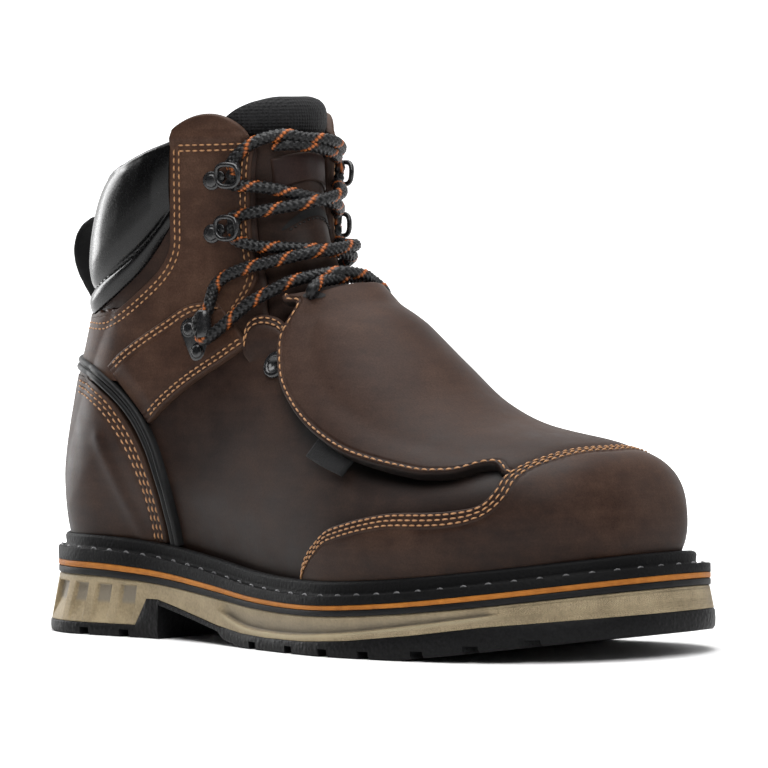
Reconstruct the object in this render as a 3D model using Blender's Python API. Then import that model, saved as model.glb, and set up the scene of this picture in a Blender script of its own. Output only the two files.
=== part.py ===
# Right-foot work boot: six-inch lace-up leather boot with a wing-shaped toe cap, a padded guard over the
# instep, a padded collar and a welted sole with a sculpted midsole and lugged outsole.
# Stations run in millimetres from the back of the heel; lateral is -Y, medial is +Y, up is +Z.
import bpy
import bmesh
import math
import numpy as np

# Driving sizes, millimetres
LENGTH = 316.0
HEEL_ROUND = 40.0
HEEL_POWER = 2.2
TOE_ROUND = 62.0
TOE_POWER = 2.35
SWING_FROM = 190.0
SWING = 15.0
HEEL_DRAFT = 3.0
TOE_DRAFT = 1.2
FEATHER = 9.2
BEAD_OUT = 3.6
BEAD_IN = 7.4
BEAD_HIGH = 5.2
GAP = 0.3
SKIN_GAP = 0.6
FACET_SHARE = 0.38
WALL = 2.2
SPRING_FROM = 235.0
SPRING = 9.6
SPRING_POWER = 1.15
ORIGIN_STATION = 52.0
LACE_RADIUS = 2.1

# Plan of the sole: half widths to the lateral and medial edge
OUTLINE = (
    # station, lateral, medial
    (0.0, 39.0, 40.0),
    (45.0, 39.0, 40.0),
    (85.0, 38.0, 37.0),
    (125.0, 43.5, 36.5),
    (165.0, 52.5, 43.0),
    (200.0, 58.5, 52.0),
    (232.0, 58.2, 57.5),
    (265.0, 55.5, 58.0),
    (316.0, 48.3, 53.0),
)

# Height of the welt ledge and the thickness of the three thin layers below it
LAYERS = (
    # station, ledge, welt, runner, stripe
    (0.0, 34.2, 5.2, 2.6, 2.8),
    (60.0, 33.8, 5.2, 2.6, 2.8),
    (90.0, 31.6, 5.0, 2.5, 2.7),
    (120.0, 28.2, 4.6, 2.3, 2.6),
    (150.0, 24.6, 4.0, 2.1, 2.4),
    (190.0, 22.8, 3.6, 1.9, 2.3),
    (235.0, 25.0, 3.5, 2.0, 2.4),
    (275.0, 29.2, 3.5, 2.2, 2.5),
    (316.0, 34.6, 3.5, 2.3, 2.6),
)

# Where the midsole meets the outsole, from the heel over the breast plate and arch to the toe
TREAD_TOP = (
    # station, height
    (0.0, 5.0),
    (72.0, 5.0),
    (79.0, 15.6),
    (86.0, 15.6),
    (108.0, 11.2),
    (127.0, 7.6),
    (145.0, 5.6),
    (165.0, 5.0),
    (190.0, 5.2),
    (215.0, 6.6),
    (245.0, 9.6),
    (275.0, 13.4),
    (316.0, 17.0),
)

# Underside of the outsole
TREAD_LOW = (
    # station, height
    (0.0, 1.4),
    (14.0, 0.0),
    (86.0, 0.0),
    (86.6, 13.2),
    (108.0, 9.0),
    (127.0, 5.2),
    (131.0, 2.4),
    (146.0, 0.0),
    (235.0, 0.0),
)

# Fan of sections of the last, from the toe tip to the collar, each a side-view line from base to top.
# A base height of zero follows the welt ledge; round is the reach of the heel's curve; gap is half the throat.
SECTIONS = (
    # base_s, base_z, top_s, top_z, lateral, medial, level, low, high, round, bow, gap
    (306.8, 0.0, 306.8, 38.0, 0.0, 0.0, 0.50, 2.0, 2.0, 40.0, 0.0, 0.0),
    (303.4, 0.0, 308.0, 50.0, 17.0, 18.0, 0.45, 2.3, 2.2, 40.0, 0.0, 0.0),
    (294.5, 0.0, 304.0, 63.5, 28.5, 29.0, 0.42, 2.4, 2.4, 40.0, 0.0, 0.0),
    (280.0, 0.0, 294.5, 73.0, 39.5, 39.5, 0.40, 2.4, 2.5, 40.0, 0.0, 0.0),
    (258.0, 0.0, 275.0, 76.5, 48.0, 47.5, 0.36, 2.4, 2.5, 40.0, 0.0, 0.0),
    (226.0, 0.0, 244.0, 78.5, 52.5, 50.5, 0.32, 2.3, 2.2, 40.0, 0.0, 0.0),
    (196.0, 0.0, 220.0, 88.0, 52.0, 46.5, 0.30, 2.3, 2.0, 40.0, 0.0, 0.0),
    (164.0, 0.0, 200.0, 103.0, 48.0, 40.5, 0.30, 2.2, 2.0, 40.0, 0.0, 0.0),
    (128.0, 0.0, 181.0, 118.5, 42.5, 37.5, 0.30, 2.2, 2.0, 40.0, 0.0, 12.0),
    (92.0, 0.0, 166.0, 131.5, 38.0, 36.5, 0.32, 2.2, 2.0, 40.0, 0.0, 19.5),
    (55.0, 0.0, 155.0, 143.0, 36.0, 36.0, 0.33, 2.2, 2.0, 40.0, 0.0, 23.2),
    (25.0, 0.0, 149.0, 153.0, 35.5, 35.5, 0.36, 2.2, 2.0, 40.0, 0.0, 20.6),
    (9.2, 35.0, 145.5, 162.0, 35.5, 35.5, 0.38, 2.2, 2.0, 40.0, 0.0, 20.0),
    (7.0, 62.0, 143.0, 171.0, 35.5, 35.5, 0.40, 2.1, 2.0, 40.0, 0.0, 20.0),
    (17.0, 96.0, 141.0, 180.0, 35.0, 35.0, 0.42, 2.1, 2.0, 40.0, 1.0, 20.0),
    (27.5, 124.0, 139.5, 189.0, 35.5, 35.5, 0.44, 2.1, 2.0, 40.0, 2.0, 20.0),
    (33.5, 148.0, 138.0, 198.0, 36.5, 36.5, 0.46, 2.1, 2.0, 36.0, 4.5, 20.0),
    (42.0, 171.0, 136.0, 208.0, 37.0, 37.0, 0.48, 2.1, 2.0, 31.0, 7.0, 27.0),
    (49.0, 184.0, 133.0, 216.0, 37.0, 37.0, 0.48, 2.1, 2.0, 29.0, 7.0, 30.0),
)
COLUMNS = "base_s base_z top_s top_z lateral medial level low high round bow gap".split()
HEEL_POINT = 12
SLIT = 7.5

# Wing-shaped toe cap: its rear edge in side view, from the welt up to the ridge
CAP_EDGE = (
    # station, height
    (183.3, 30.4),
    (186.5, 35.9),
    (192.4, 41.6),
    (199.8, 46.8),
    (207.9, 49.6),
    (222.9, 52.7),
    (237.0, 54.3),
    (258.8, 55.4),
    (270.2, 57.6),
    (274.4, 62.0),
    (275.4, 66.5),
    (278.0, 69.9),
    (282.0, 72.8),
)
CAP_TOP_K = 3.5  # section of the edge at the ridge
CAP_TIP_K = 0.12  # section of the lowest line, at the tip
CAP_CORNER = 8  # edge point where the wing ends and the edge turns up
CAP_SPRING = 1.2  # turn at which the lines start to bend back over the toe
CAP_SQUARE = 0.12  # least roundness of that bend
CAP_STEPS = 60
CAP_THICK = 1.7
CAP_GAP = 1.25

# Guard: its free side edge in side view from the notch to the top corner, and its lift off the vamp
GUARD_EDGE = (
    # station, height
    (274.4, 67.6),
    (268.3, 70.0),
    (263.2, 69.4),
    (256.9, 67.2),
    (244.8, 65.5),
    (228.9, 66.4),
    (212.5, 69.3),
    (195.7, 75.0),
    (182.1, 81.7),
    (168.7, 90.6),
    (159.6, 99.4),
    (153.5, 109.8),
    (150.6, 116.6),
    (149.0, 123.1),
    (145.6, 131.0),
)
GUARD_LIFT = (
    # k, at the ridge, at the free edge
    (3.5, 0.7, 0.7),
    (4.0, 2.0, 1.8),
    (5.0, 4.6, 4.6),
    (6.0, 6.4, 6.2),
    (7.0, 7.6, 6.6),
    (8.0, 7.6, 6.4),
    (9.0, 7.2, 5.8),
    (10.0, 6.2, 5.0),
)
GUARD_TOP_RIDGE = 9.05
GUARD_TOP_CORNER = 9.95
GUARD_FRONT_GAP = 0.07
GUARD_THICK = 2.4

# Heel counter: how far its front edge reaches forward at each height
COUNTER_EDGE = (
    # height, station
    (40.4, 85.3),
    (49.2, 85.5),
    (60.8, 84.0),
    (74.1, 77.6),
    (85.7, 68.4),
    (95.5, 57.6),
    (100.5, 46.0),
    (103.0, 34.0),
)
COUNTER_THICK = 1.5
COUNTER_GAP = 0.9

# Piping ahead of the counter: centre line from the welt to the back seam
PIPING = (
    # station, height
    (91.2, 40.4),
    (91.4, 48.5),
    (90.2, 60.2),
    (84.6, 73.4),
    (75.4, 86.0),
    (64.0, 96.0),
    (53.0, 102.2),
    (39.7, 106.0),
    (29.0, 107.4),
)
PIPING_BACK = 107.8
PIPING_WIDE = 4.6
PIPING_THICK = 2.5

# Ankle strap: lower and upper edge from the piping to the throat
STRAP = (
    # low_s, low_z, high_s, high_z
    (82.0, 84.6, 58.4, 107.2),
    (93.4, 93.0, 70.0, 114.4),
    (103.8, 99.6, 80.0, 119.8),
    (113.8, 105.0, 90.0, 125.0),
    (124.0, 110.3, 101.5, 131.0),
    (131.5, 115.5, 115.0, 132.4),
)
STRAP_THICK = 1.8

# Shaft quarter: rear edge in side view, the section its front edge reaches and the row's upward bow
QUARTER = (
    # rear_s, rear_z, front_k, rise
    (37.0, 113.5, 10.8, 6.0),
    (39.0, 121.0, 11.2, 3.0),
    (60.0, 127.5, 11.8, 0.8),
    (82.0, 140.0, 12.6, 0.0),
    (92.4, 151.0, 13.6, 0.0),
    (94.8, 165.0, 14.6, 0.0),
    (96.2, 180.0, 15.6, 0.0),
    (97.2, 191.0, 16.3, 0.0),
    (99.4, 199.6, 16.9, 0.0),
)
QUARTER_THICK = 1.2
QUARTER_SETBACK = 1.0

# Padded collar: lower edge and rim in side view, back seam to quarter
COLLAR_PAD = (
    # low_s, low_z, rim_s, rim_z
    (28.2, 125.6, 41.6, 170.0),
    (29.4, 125.6, 42.8, 171.0),
    (34.0, 125.8, 47.5, 174.0),
    (43.0, 127.0, 55.0, 178.4),
    (55.0, 131.4, 66.0, 184.6),
    (67.0, 137.4, 77.0, 190.0),
    (78.0, 144.6, 86.5, 194.8),
    (87.0, 153.0, 92.6, 197.2),
)
PAD_PROFILE = (
    # share up the pad, thickness
    (0.0, 1.0),
    (0.05, 2.6),
    (0.11, 3.6),
    (0.17, 2.8),
    (0.21, 1.5),
    (0.26, 3.2),
    (0.36, 5.2),
    (0.52, 6.4),
    (0.70, 6.6),
    (0.86, 5.6),
    (0.96, 3.8),
    (1.0, 2.0),
)

# Tongue: half width, outer set-in below the last and thickness along the fan
TONGUE = (
    # k, half, set_in, thick
    (7.8, 5.0, 3.4, 2.6),
    (8.3, 16.0, 3.4, 2.8),
    (9.0, 23.0, 3.3, 3.2),
    (10.0, 27.0, 3.3, 3.6),
    (11.5, 29.0, 3.3, 4.2),
    (13.0, 30.0, 3.0, 5.0),
    (14.5, 31.0, 3.0, 6.0),
    (15.8, 32.0, 3.0, 7.5),
    (16.6, 32.0, 3.0, 8.5),
    (17.2, 31.5, 3.0, 9.0),
    (17.6, 29.0, 3.4, 8.2),
    (17.85, 24.0, 4.2, 6.4),
    (18.0, 16.0, 5.6, 3.6),
)

# Hooks, eyelet and lock hook in side view
HOOKS = (
    # name, station, height
    ("top", 114.3, 179.5),
    ("mid", 112.8, 158.8),
    ("lock", 103.6, 121.6),
)
EYELET = (147.8, 108.0)
EYELET_OUT = 5.4
EYELET_IN = 3.2
HOOK_THICK = 1.1
HOOK_STRIP = (
    # forward, rise, half width
    (-4.8, 0.0, 1.6),
    (-3.2, 0.0, 3.8),
    (0.0, 0.0, 4.8),
    (3.0, 0.0, 3.6),
    (5.0, 0.1, 2.0),
    (7.6, 0.5, 1.7),
    (9.4, 1.9, 1.7),
    (9.8, 3.6, 1.7),
    (8.8, 5.0, 1.8),
    (6.6, 5.4, 2.2),
    (4.6, 5.0, 1.6),
)

# Heel pull loop: side-view path of the webbing behind the collar
PULL_LOOP = (
    # station, height
    (29.6, 168.5),
    (20.0, 168.0),
    (12.5, 163.0),
    (9.5, 154.5),
    (11.5, 145.5),
    (17.5, 136.5),
    (23.5, 129.5),
)
LOOP_HALF = 11.0
LOOP_THICK = 1.6

# Bare tag under the guard's edge: upper and lower edge in side view
TAG = (
    # high_s, high_z, low_s, low_z
    (186.4, 80.4, 182.4, 73.0),
    (196.8, 76.4, 193.0, 69.2),
    (207.0, 73.2, 204.0, 65.8),
)

TAG_LIFT = 3.4
TAG_DROP = 3.6
TAG_THICK = 1.0

# Lace: turns of the cord in order, by hook height, side and share of shift between paired strands
LACE_HALF = 20.0
LACE_TURNS = (
    # level, side, shift
    ("top", 1, 0.35),
    ("top", -1, 0.35),
    ("mid", 1, 0.0),
    ("lock", -1, 0.0),
    ("lock", 1, 0.0),
    ("mid", -1, 0.0),
    ("top", 1, -0.35),
)
LACE_OVER = (0.0, 2.4, -0.2, 0.0, 2.4, -0.2)
LACE_LIFT = 5.4

# Heel windows in the midsole side, and lug notches in the outsole edge
WINDOWS = ((17.0, 30.0), (35.0, 45.5), (49.5, 60.0), (64.0, 74.0))
WINDOW_TOP = 21.0
WINDOW_LOW = 8.4
WINDOW_DEEP = 2.2
WINDOW_LEAN = 3.0
GROOVE_FROM = 127.0
GROOVE_TO = 283.0
GROOVE_DEEP = 1.6
EDGE_NOTCHES = (41.0, 64.0, 152.0, 178.0, 200.0, 221.0, 246.0, 268.0, 287.0)
CROSS_GROOVES = (30.0, 75.5, 165.0, 189.0, 210.5, 233.0, 257.0, 278.0)
NOTCH_WIDE = 5.0
NOTCH_LONG = 24.0
NOTCH_DEEP = 3.0
CROSS_WIDE = 4.0


def curve(table, column, at):
    rows = np.asarray(table, float)
    xs = rows[:, 0]
    ys = rows[:, column]
    at = np.asarray(at, float)
    step = np.diff(xs)
    slope = np.diff(ys) / step
    inner = (slope[:-1] * step[1:] + slope[1:] * step[:-1]) / (step[:-1] + step[1:])
    tangent = np.concatenate([slope[:1], inner, slope[-1:]])
    i = np.clip(np.searchsorted(xs, at) - 1, 0, len(xs) - 2)
    t = np.clip((at - xs[i]) / step[i], 0.0, 1.0)
    start = (2 * t**3 - 3 * t**2 + 1) * ys[i] + (t**3 - 2 * t**2 + t) * step[i] * tangent[i]
    end = (3 * t**2 - 2 * t**3) * ys[i + 1] + (t**3 - t**2) * step[i] * tangent[i + 1]
    return start + end


def straight(table, column, at):
    rows = np.asarray(table, float)
    return np.interp(at, rows[:, 0], rows[:, column])


def ease(t):
    t = np.clip(t, 0.0, 1.0)
    return t * t * (3 - 2 * t)


def swing(s):
    return SWING * np.clip((s - SWING_FROM) / (LENGTH - SWING_FROM), 0.0, 1.2) ** 2


def ledge(s):
    return curve(LAYERS, 1, s)


def draft(s):
    return HEEL_DRAFT * ease((70.0 - s) / 50.0) + TOE_DRAFT * ease((s - 246.0) / 50.0)


def rounded(share, power):
    return (1 - np.clip(1 - share, 0.0, 1.0) ** power) ** (1 / power)


def toe_width(s, side, inset):
    wide = curve(OUTLINE, 1 if side < 0 else 2, s) - inset
    return wide * rounded((LENGTH - inset - s) / TOE_ROUND, TOE_POWER)


def half_width(s, side, inset):
    return toe_width(s, side, inset) * rounded((s - inset) / HEEL_ROUND, HEEL_POWER)


def tread_low(s):
    rise = np.clip((s - SPRING_FROM) / (LENGTH - SPRING_FROM), 0.0, 1.0) ** SPRING_POWER
    return straight(TREAD_LOW, 1, s) + SPRING * rise


# The last
ROWS = np.array([(k,) + row for k, row in enumerate(SECTIONS)], float)


def section(name, k):
    return curve(ROWS, 1 + COLUMNS.index(name), k)


def base_point(k):
    low, high = FEATHER, LENGTH - FEATHER
    s = section("base_s", k)
    s = np.where(k <= HEEL_POINT, np.clip(s, low, high), s)
    back = [(i, SECTIONS[i][1]) for i in range(HEEL_POINT, len(SECTIONS))]
    z = np.where(k < HEEL_POINT, ledge(s) + 0.6, curve(back, 1, np.maximum(k, HEEL_POINT)))
    return s, z


BACK = base_point(np.linspace(HEEL_POINT, len(SECTIONS) - 1, 260))


def back_station(z):
    return np.interp(z, BACK[1], BACK[0])


def last(k, phi, side):
    k, phi = np.broadcast_arrays(np.asarray(k, float), np.asarray(phi, float))
    base_s, base_z = base_point(k)
    wide = section("lateral" if side < 0 else "medial", k)
    level = section("level", k)
    low = 2 / section("low", k)
    high = 2 / section("high", k)
    cosine = np.abs(np.cos(phi))
    lower = phi < math.pi / 2
    rise = 1 - cosine**low
    q = np.where(lower, level * rise, level + (1 - level) * cosine**high)
    s = base_s + (section("top_s", k) - base_s) * q
    z = base_z + (section("top_z", k) - base_z) * q + section("bow", k) * 4 * q * (1 - q)
    closed = ease((k - HEEL_POINT) / 2.5)
    wall = toe_width(np.clip(s, FEATHER, LENGTH - FEATHER), side, FEATHER)
    wall = wall + (wide - wall) * np.maximum(closed, ease(rise))
    heel = rounded((s - back_station(z)) / section("round", k), HEEL_POWER)
    heel = np.where((phi < 1e-6) & (k >= HEEL_POINT), 0.0, heel)
    w = np.where(lower, wall * heel, wide * np.abs(np.sin(phi))**high)
    return np.stack([s, swing(s) + side * w, z], -1)


def outward(k, phi, side):
    """Unit normal of the last."""
    along = last(k + 0.05, phi, side) - last(k - 0.05, phi, side)
    turned = last(k, phi + 0.02, side) - last(k, phi - 0.02, side)
    normal = np.cross(along, turned) * side
    return normal / np.linalg.norm(normal, axis=-1, keepdims=True)


def phi_at_half(k, half, side):
    wide = np.maximum(section("lateral" if side < 0 else "medial", k), 0.01)
    share = np.clip(half / wide, 0.0, 1.0) ** (section("high", k) / 2)
    return math.pi - np.arcsin(share)


def fan_at(s, z):
    """Section number and turn of the side-view point (s, z)."""
    s, z = np.broadcast_arrays(np.asarray(s, float), np.asarray(z, float))
    ks = np.linspace(0.05, len(SECTIONS) - 1, 720)
    base_s, base_z = base_point(ks)
    run = section("top_s", ks) - base_s
    climb = section("top_z", ks) - base_z
    size = run**2 + climb**2
    found_k = np.empty(s.shape)
    found_q = np.empty(s.shape)
    for at in np.ndindex(s.shape):
        q = ((s[at] - base_s) * run + (z[at] - base_z) * climb) / size
        for turn in range(3):
            lift = section("bow", ks) * 4 * np.clip(q * (1 - q), 0.0, None)
            q = ((s[at] - base_s) * run + (z[at] - lift - base_z) * climb) / size
        off = run * (z[at] - lift - base_z) - climb * (s[at] - base_s)
        cross = np.nonzero((off[:-1] * off[1:] <= 0) & (q[:-1] > -0.2) & (q[:-1] < 1.2))[0]
        i = cross[-1] if len(cross) else int(np.argmin(np.abs(off) / np.sqrt(size)))
        i = min(i, len(ks) - 2)
        share = off[i] / (off[i] - off[i + 1]) if len(cross) and off[i] != off[i + 1] else 0.0
        found_k[at] = ks[i] + (ks[i + 1] - ks[i]) * share
        found_q[at] = np.clip(q[i] + (q[i + 1] - q[i]) * share, 0.0, 1.0)
    level = section("level", found_k)
    rise = np.clip(found_q / level, 0.0, 1.0)
    fall = np.clip((found_q - level) / (1 - level), 0.0, 1.0)
    lower = np.arccos((1 - rise) ** (section("low", found_k) / 2))
    upper = math.pi - np.arccos(fall ** (section("high", found_k) / 2))
    return found_k, np.where(found_q < level, lower, upper)


def on_last(s, z, side):
    k, phi = fan_at(s, z)
    return last(k, phi, side)


# Mesh helpers
def world(points):
    shifted = np.asarray(points, float) - np.array([ORIGIN_STATION, 0.0, 0.0])
    return shifted * 0.001


def paint(name, colour, rough, metal=0.0):
    material = bpy.data.materials.new(name)
    material.use_nodes = True
    shader = material.node_tree.nodes["Principled BSDF"]
    shader.inputs["Base Color"].default_value = colour + (1.0,)
    shader.inputs["Roughness"].default_value = rough
    shader.inputs["Metallic"].default_value = metal
    return material


def make_object(name, points, faces, material):
    mesh = bpy.data.meshes.new(name)
    mesh.from_pydata([tuple(p) for p in world(points)], [], faces)
    work = bmesh.new()
    work.from_mesh(mesh)
    bmesh.ops.remove_doubles(work, verts=work.verts, dist=2e-5)
    bmesh.ops.dissolve_degenerate(work, edges=work.edges, dist=1e-6)
    bmesh.ops.recalc_face_normals(work, faces=work.faces)
    work.to_mesh(mesh)
    work.free()
    made = bpy.data.objects.new(name, mesh)
    bpy.context.scene.collection.objects.link(made)
    if material:
        made.data.materials.append(material)
    return made


def face_outward(made, middle):
    centre = world([middle])[0]
    lean = 0.0
    for face in made.data.polygons:
        lean += face.area * float(np.dot(np.array(face.normal), np.array(face.center) - centre))
    if lean < 0:
        made.data.flip_normals()


def grid_faces(rows, cols, start=0, closed=False):
    faces = []
    for i in range(rows - 1):
        for j in range(cols if closed else cols - 1):
            n = (j + 1) % cols
            a = start + i * cols
            faces.append((a + j, a + n, a + cols + n, a + cols + j))
    return faces


def grid_normals(grid):
    along = np.gradient(grid, axis=0)
    across = np.gradient(grid, axis=1)
    normal = np.cross(along, across)
    size = np.linalg.norm(normal, axis=2, keepdims=True)
    return normal / np.maximum(size, 1e-9)


def shell(name, outer, inner, material):
    rows, cols = outer.shape[:2]
    points = np.concatenate([outer.reshape(-1, 3), inner.reshape(-1, 3)])
    count = rows * cols
    faces = grid_faces(rows, cols)
    faces += [tuple(reversed(face)) for face in grid_faces(rows, cols, count)]
    edge = list(range(cols))
    edge += [i * cols + cols - 1 for i in range(1, rows)]
    edge += [(rows - 1) * cols + j for j in range(cols - 2, -1, -1)]
    edge += [i * cols for i in range(rows - 2, 0, -1)]
    for a, b in zip(edge, edge[1:] + edge[:1]):
        faces.append((a, a + count, b + count, b))
    return make_object(name, points, faces, material)


def facet_rise(grid, normal):
    """How far facets between these points dip below a bulging form."""
    rise = np.zeros(grid.shape[:2])
    for axis in (0, 1):
        g = np.moveaxis(grid, axis, 0)
        n = np.moveaxis(normal, axis, 0)
        dip = np.zeros(g.shape[:2])
        dip[1:-1] = np.sum((g[1:-1] - (g[:-2] + g[2:]) / 2) * n[1:-1], axis=2)
        dip[0] = dip[1]
        dip[-1] = dip[-2]
        wide = np.maximum(dip, np.maximum(np.roll(dip, 1, 0), np.roll(dip, -1, 0)))
        rise += np.moveaxis(np.maximum(wide, 0.0), 0, axis)
    return rise * FACET_SHARE


def cover(name, grid, low, high, material):
    """A panel lying on the last: low and high are its distances from the last."""
    normal = grid_normals(grid)
    middle = np.array([120.0, 0.0, 60.0])
    if np.sum(normal * (grid - middle)) < 0:
        normal = -normal
    rise = facet_rise(grid, normal)
    low = (np.asarray(low, float) + rise)[..., None]
    high = (np.asarray(high, float) + rise)[..., None]
    return shell(name, grid + normal * high, grid + normal * low, material)


def loft(name, rings, material):
    """Closed solid through rings of equal length, capped strip by strip across the first and last ring."""
    count = len(rings[0])
    points = np.concatenate(rings)
    faces = grid_faces(len(rings), count, closed=True)
    for start in (0, (len(rings) - 1) * count):
        half = count // 2
        for i in range(half):
            a = start + i
            b = start + (i + 1) % count
            c = start + (count - i - 1) % count
            d = start + (count - i) % count
            face = [a, b, c, d]
            distinct = [v for n, v in enumerate(face) if v not in face[:n]]
            if len(distinct) > 2:
                faces.append(tuple(distinct))
    return make_object(name, points, faces, material)


def sole_ring(stations, inset, height):
    """Ring around the sole at these stations: lateral side to the toe, back along the medial side."""
    s = np.asarray(stations, float)
    inset = np.broadcast_to(inset(s) if callable(inset) else inset, s.shape)
    s = np.clip(s, inset[0], LENGTH - inset[-1])
    z = height(s)
    lateral = np.stack([s, swing(s) - half_width(s, -1, inset), z], 1)
    medial = np.stack([s, swing(s) + half_width(s, 1, inset), z], 1)
    return np.concatenate([lateral, medial[-2:0:-1]])


def spaced(count):
    t = np.linspace(0.0, 1.0, count)
    return LENGTH * (1 - np.cos(math.pi * t)) / 2


CUBE = [(3, 2, 1, 0), (4, 5, 6, 7), (0, 1, 5, 4), (1, 2, 6, 5), (2, 3, 7, 6), (3, 0, 4, 7)]


def box(centre, along, size, low, high):
    """Upright prism: centre in plan, direction of its length, (length, width), heights."""
    along = np.asarray(along, float) / np.linalg.norm(along)
    across = np.array([-along[1], along[0]])
    corners = []
    for a, b in ((-1, -1), (1, -1), (1, 1), (-1, 1)):
        corners.append(np.asarray(centre) + along * a * size[0] / 2 + across * b * size[1] / 2)
    points = [(c[0], c[1], low) for c in corners] + [(c[0], c[1], high) for c in corners]
    return points, CUBE


def joined(parts):
    points = []
    faces = []
    for p, f in parts:
        start = len(points)
        points += [tuple(v) for v in p]
        faces += [tuple(v + start for v in face) for face in f]
    return np.array(points), faces


def cut(target, parts, name):
    points, faces = joined(parts)
    cutter = make_object(name, points, faces, None)
    cutter.hide_render = True
    cutter.display_type = "WIRE"
    modifier = target.modifiers.new(name, "BOOLEAN")
    modifier.operation = "DIFFERENCE"
    modifier.solver = "EXACT"
    modifier.object = cutter


def tube(path, radius, sides=5):
    """Points and faces of a capped round cord along a path."""
    path = np.asarray(path, float)
    tangent = np.gradient(path, axis=0)
    tangent /= np.linalg.norm(tangent, axis=1, keepdims=True)
    normal = np.cross(tangent[0], (0.0, 0.0, 1.0))
    rings = []
    for p, t in zip(path, tangent):
        normal = normal - t * np.dot(normal, t)
        normal = normal / np.linalg.norm(normal)
        other = np.cross(t, normal)
        turn = np.linspace(0, 2 * math.pi, sides, endpoint=False)
        rings.append(p + radius * (np.outer(np.cos(turn), normal) + np.outer(np.sin(turn), other)))
    faces = grid_faces(len(path), sides, closed=True)
    faces.append(tuple(range(sides)))
    faces.append(tuple(range((len(path) - 1) * sides, len(path) * sides)))
    return np.concatenate(rings), faces


for old in list(bpy.data.objects):
    bpy.data.objects.remove(old, do_unlink=True)

BROWN = (0.075, 0.045, 0.032)
DARK_BROWN = (0.055, 0.035, 0.028)
BLACK = (0.012, 0.012, 0.013)
TAN = (0.42, 0.35, 0.24)
ORANGE = (0.45, 0.18, 0.05)
leather = paint("leather_brown", BROWN, 0.55)
leather_dark = paint("leather_dark", DARK_BROWN, 0.55)
collar_black = paint("collar_black", BLACK, 0.35)
rubber_black = paint("rubber_black", (0.015, 0.015, 0.016), 0.7)
rubber_tan = paint("rubber_tan", TAN, 0.6)
runner_orange = paint("runner_orange", ORANGE, 0.6)
fabric_black = paint("fabric_black", (0.014, 0.014, 0.015), 0.9)
insole_grey = paint("insole_grey", (0.05, 0.05, 0.055), 0.9)
metal_black = paint("metal_black", (0.02, 0.02, 0.022), 0.35, 0.6)
lace_black = paint("lace_black", (0.02, 0.018, 0.016), 0.85)

# Sole: outsole with arch, breast plate and toe spring
tread_stations = np.array([0, 1.5, 5, 11, 20, 32, 50, 71.8, 72.2, 78.8, 79.2, 85.9, 86.7, 97, 108, 118, 127, 131,
                           138, 146, 162, 180, 198, 216, 235, 252, 267, 280, 291, 300, 307, 312, 315, 316.0])


def tread_top(s):
    return straight(TREAD_TOP, 1, s)


def lip(s):
    return tread_low(s) + 0.35 * (tread_top(s) - tread_low(s))


outsole = loft("outsole", [
    sole_ring(tread_stations, 0.3, lambda s: tread_top(s) - GAP / 2),
    sole_ring(tread_stations, 0.0, lip),
    sole_ring(tread_stations, 0.8, tread_low),
], rubber_black)
notches = []
for station in EDGE_NOTCHES:
    for side in (-1, 1):
        edge_y = float(swing(station) + side * half_width(station, side, 0.0))
        floor = float(tread_low(station))
        notches.append(box((station + 2.0, edge_y), (0.25, -side), (NOTCH_LONG, NOTCH_WIDE),
                           floor - 4.0, floor + NOTCH_DEEP))
for station in CROSS_GROOVES:
    floor = float(tread_low(station))
    notches.append(box((station, float(swing(station))), (0.0, 1.0), (30.0, CROSS_WIDE),
                       floor - 4.0, floor + NOTCH_DEEP))
cut(outsole, notches, "lug_cutter")

# Sole: tan midsole with a long side groove and leaning heel windows
mid_stations = np.unique(np.concatenate([tread_stations, [274.0, 284.0]]))


def mid_top(s):
    return ledge(s) - curve(LAYERS, 2, s) - curve(LAYERS, 3, s) - curve(LAYERS, 4, s)


def groove(s):
    return GROOVE_DEEP * ease((s - GROOVE_FROM) / 10.0) * ease((GROOVE_TO - s) / 12.0)


def mid_ring(share, deep):
    def inset(s):
        return 0.5 + draft(s) * share + deep * groove(s)

    def height(s):
        low = tread_top(s) + GAP / 2
        return low + (mid_top(s) - GAP / 2 - low) * share

    return sole_ring(mid_stations, inset, height)


midsole = loft("midsole", [mid_ring(1.0, 0.0), mid_ring(0.90, 0.0), mid_ring(0.84, 1.0), mid_ring(0.52, 1.0),
                           mid_ring(0.42, -0.2), mid_ring(0.0, 0.0)], rubber_tan)
windows = []
for side in (-1, 1):
    for start, end in WINDOWS:
        corners = []
        for high, lean in ((WINDOW_LOW, -WINDOW_LEAN), (WINDOW_TOP, 0.0)):
            deep = WINDOW_DEEP if high == WINDOW_TOP else -0.3
            share = (high - 5.0) / 18.6
            ring = []
            for station, out in ((start, -4.0), (end, -4.0), (end, 1.0), (start, 1.0)):
                s = station + lean
                inset = 0.5 + float(draft(s)) * share
                edge = float(swing(s) + side * half_width(s, side, inset))
                slope = float(half_width(s + 1.0, side, inset) - half_width(s - 1.0, side, inset)) / 2
                size = math.hypot(1.0, slope)
                inward = deep if out > 0 else out
                ring.append((s + inward * slope / size, edge - side * inward / size, high))
            corners += ring
        windows.append((corners, CUBE))
cut(midsole, windows, "window_cutter")

# Sole: three thin layers, the upper one a welt with a raised bead around the feather line
layer_stations = spaced(30)


def level_below(end, shift):
    def height(s):
        z = ledge(s)
        for column in range(2, end):
            z = z - curve(LAYERS, column, s)
        return z + shift

    return height


for name, column, material in (("stripe", 4, rubber_black), ("runner", 3, runner_orange)):
    loft(name, [
        sole_ring(layer_stations, draft, level_below(column, -GAP / 2)),
        sole_ring(layer_stations, draft, level_below(column + 1, GAP / 2)),
    ], material)


def bead_out(s):
    return BEAD_OUT + 1.9 * ease((70.0 - s) / 50.0) + 0.6 * ease((s - 246.0) / 50.0)


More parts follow.
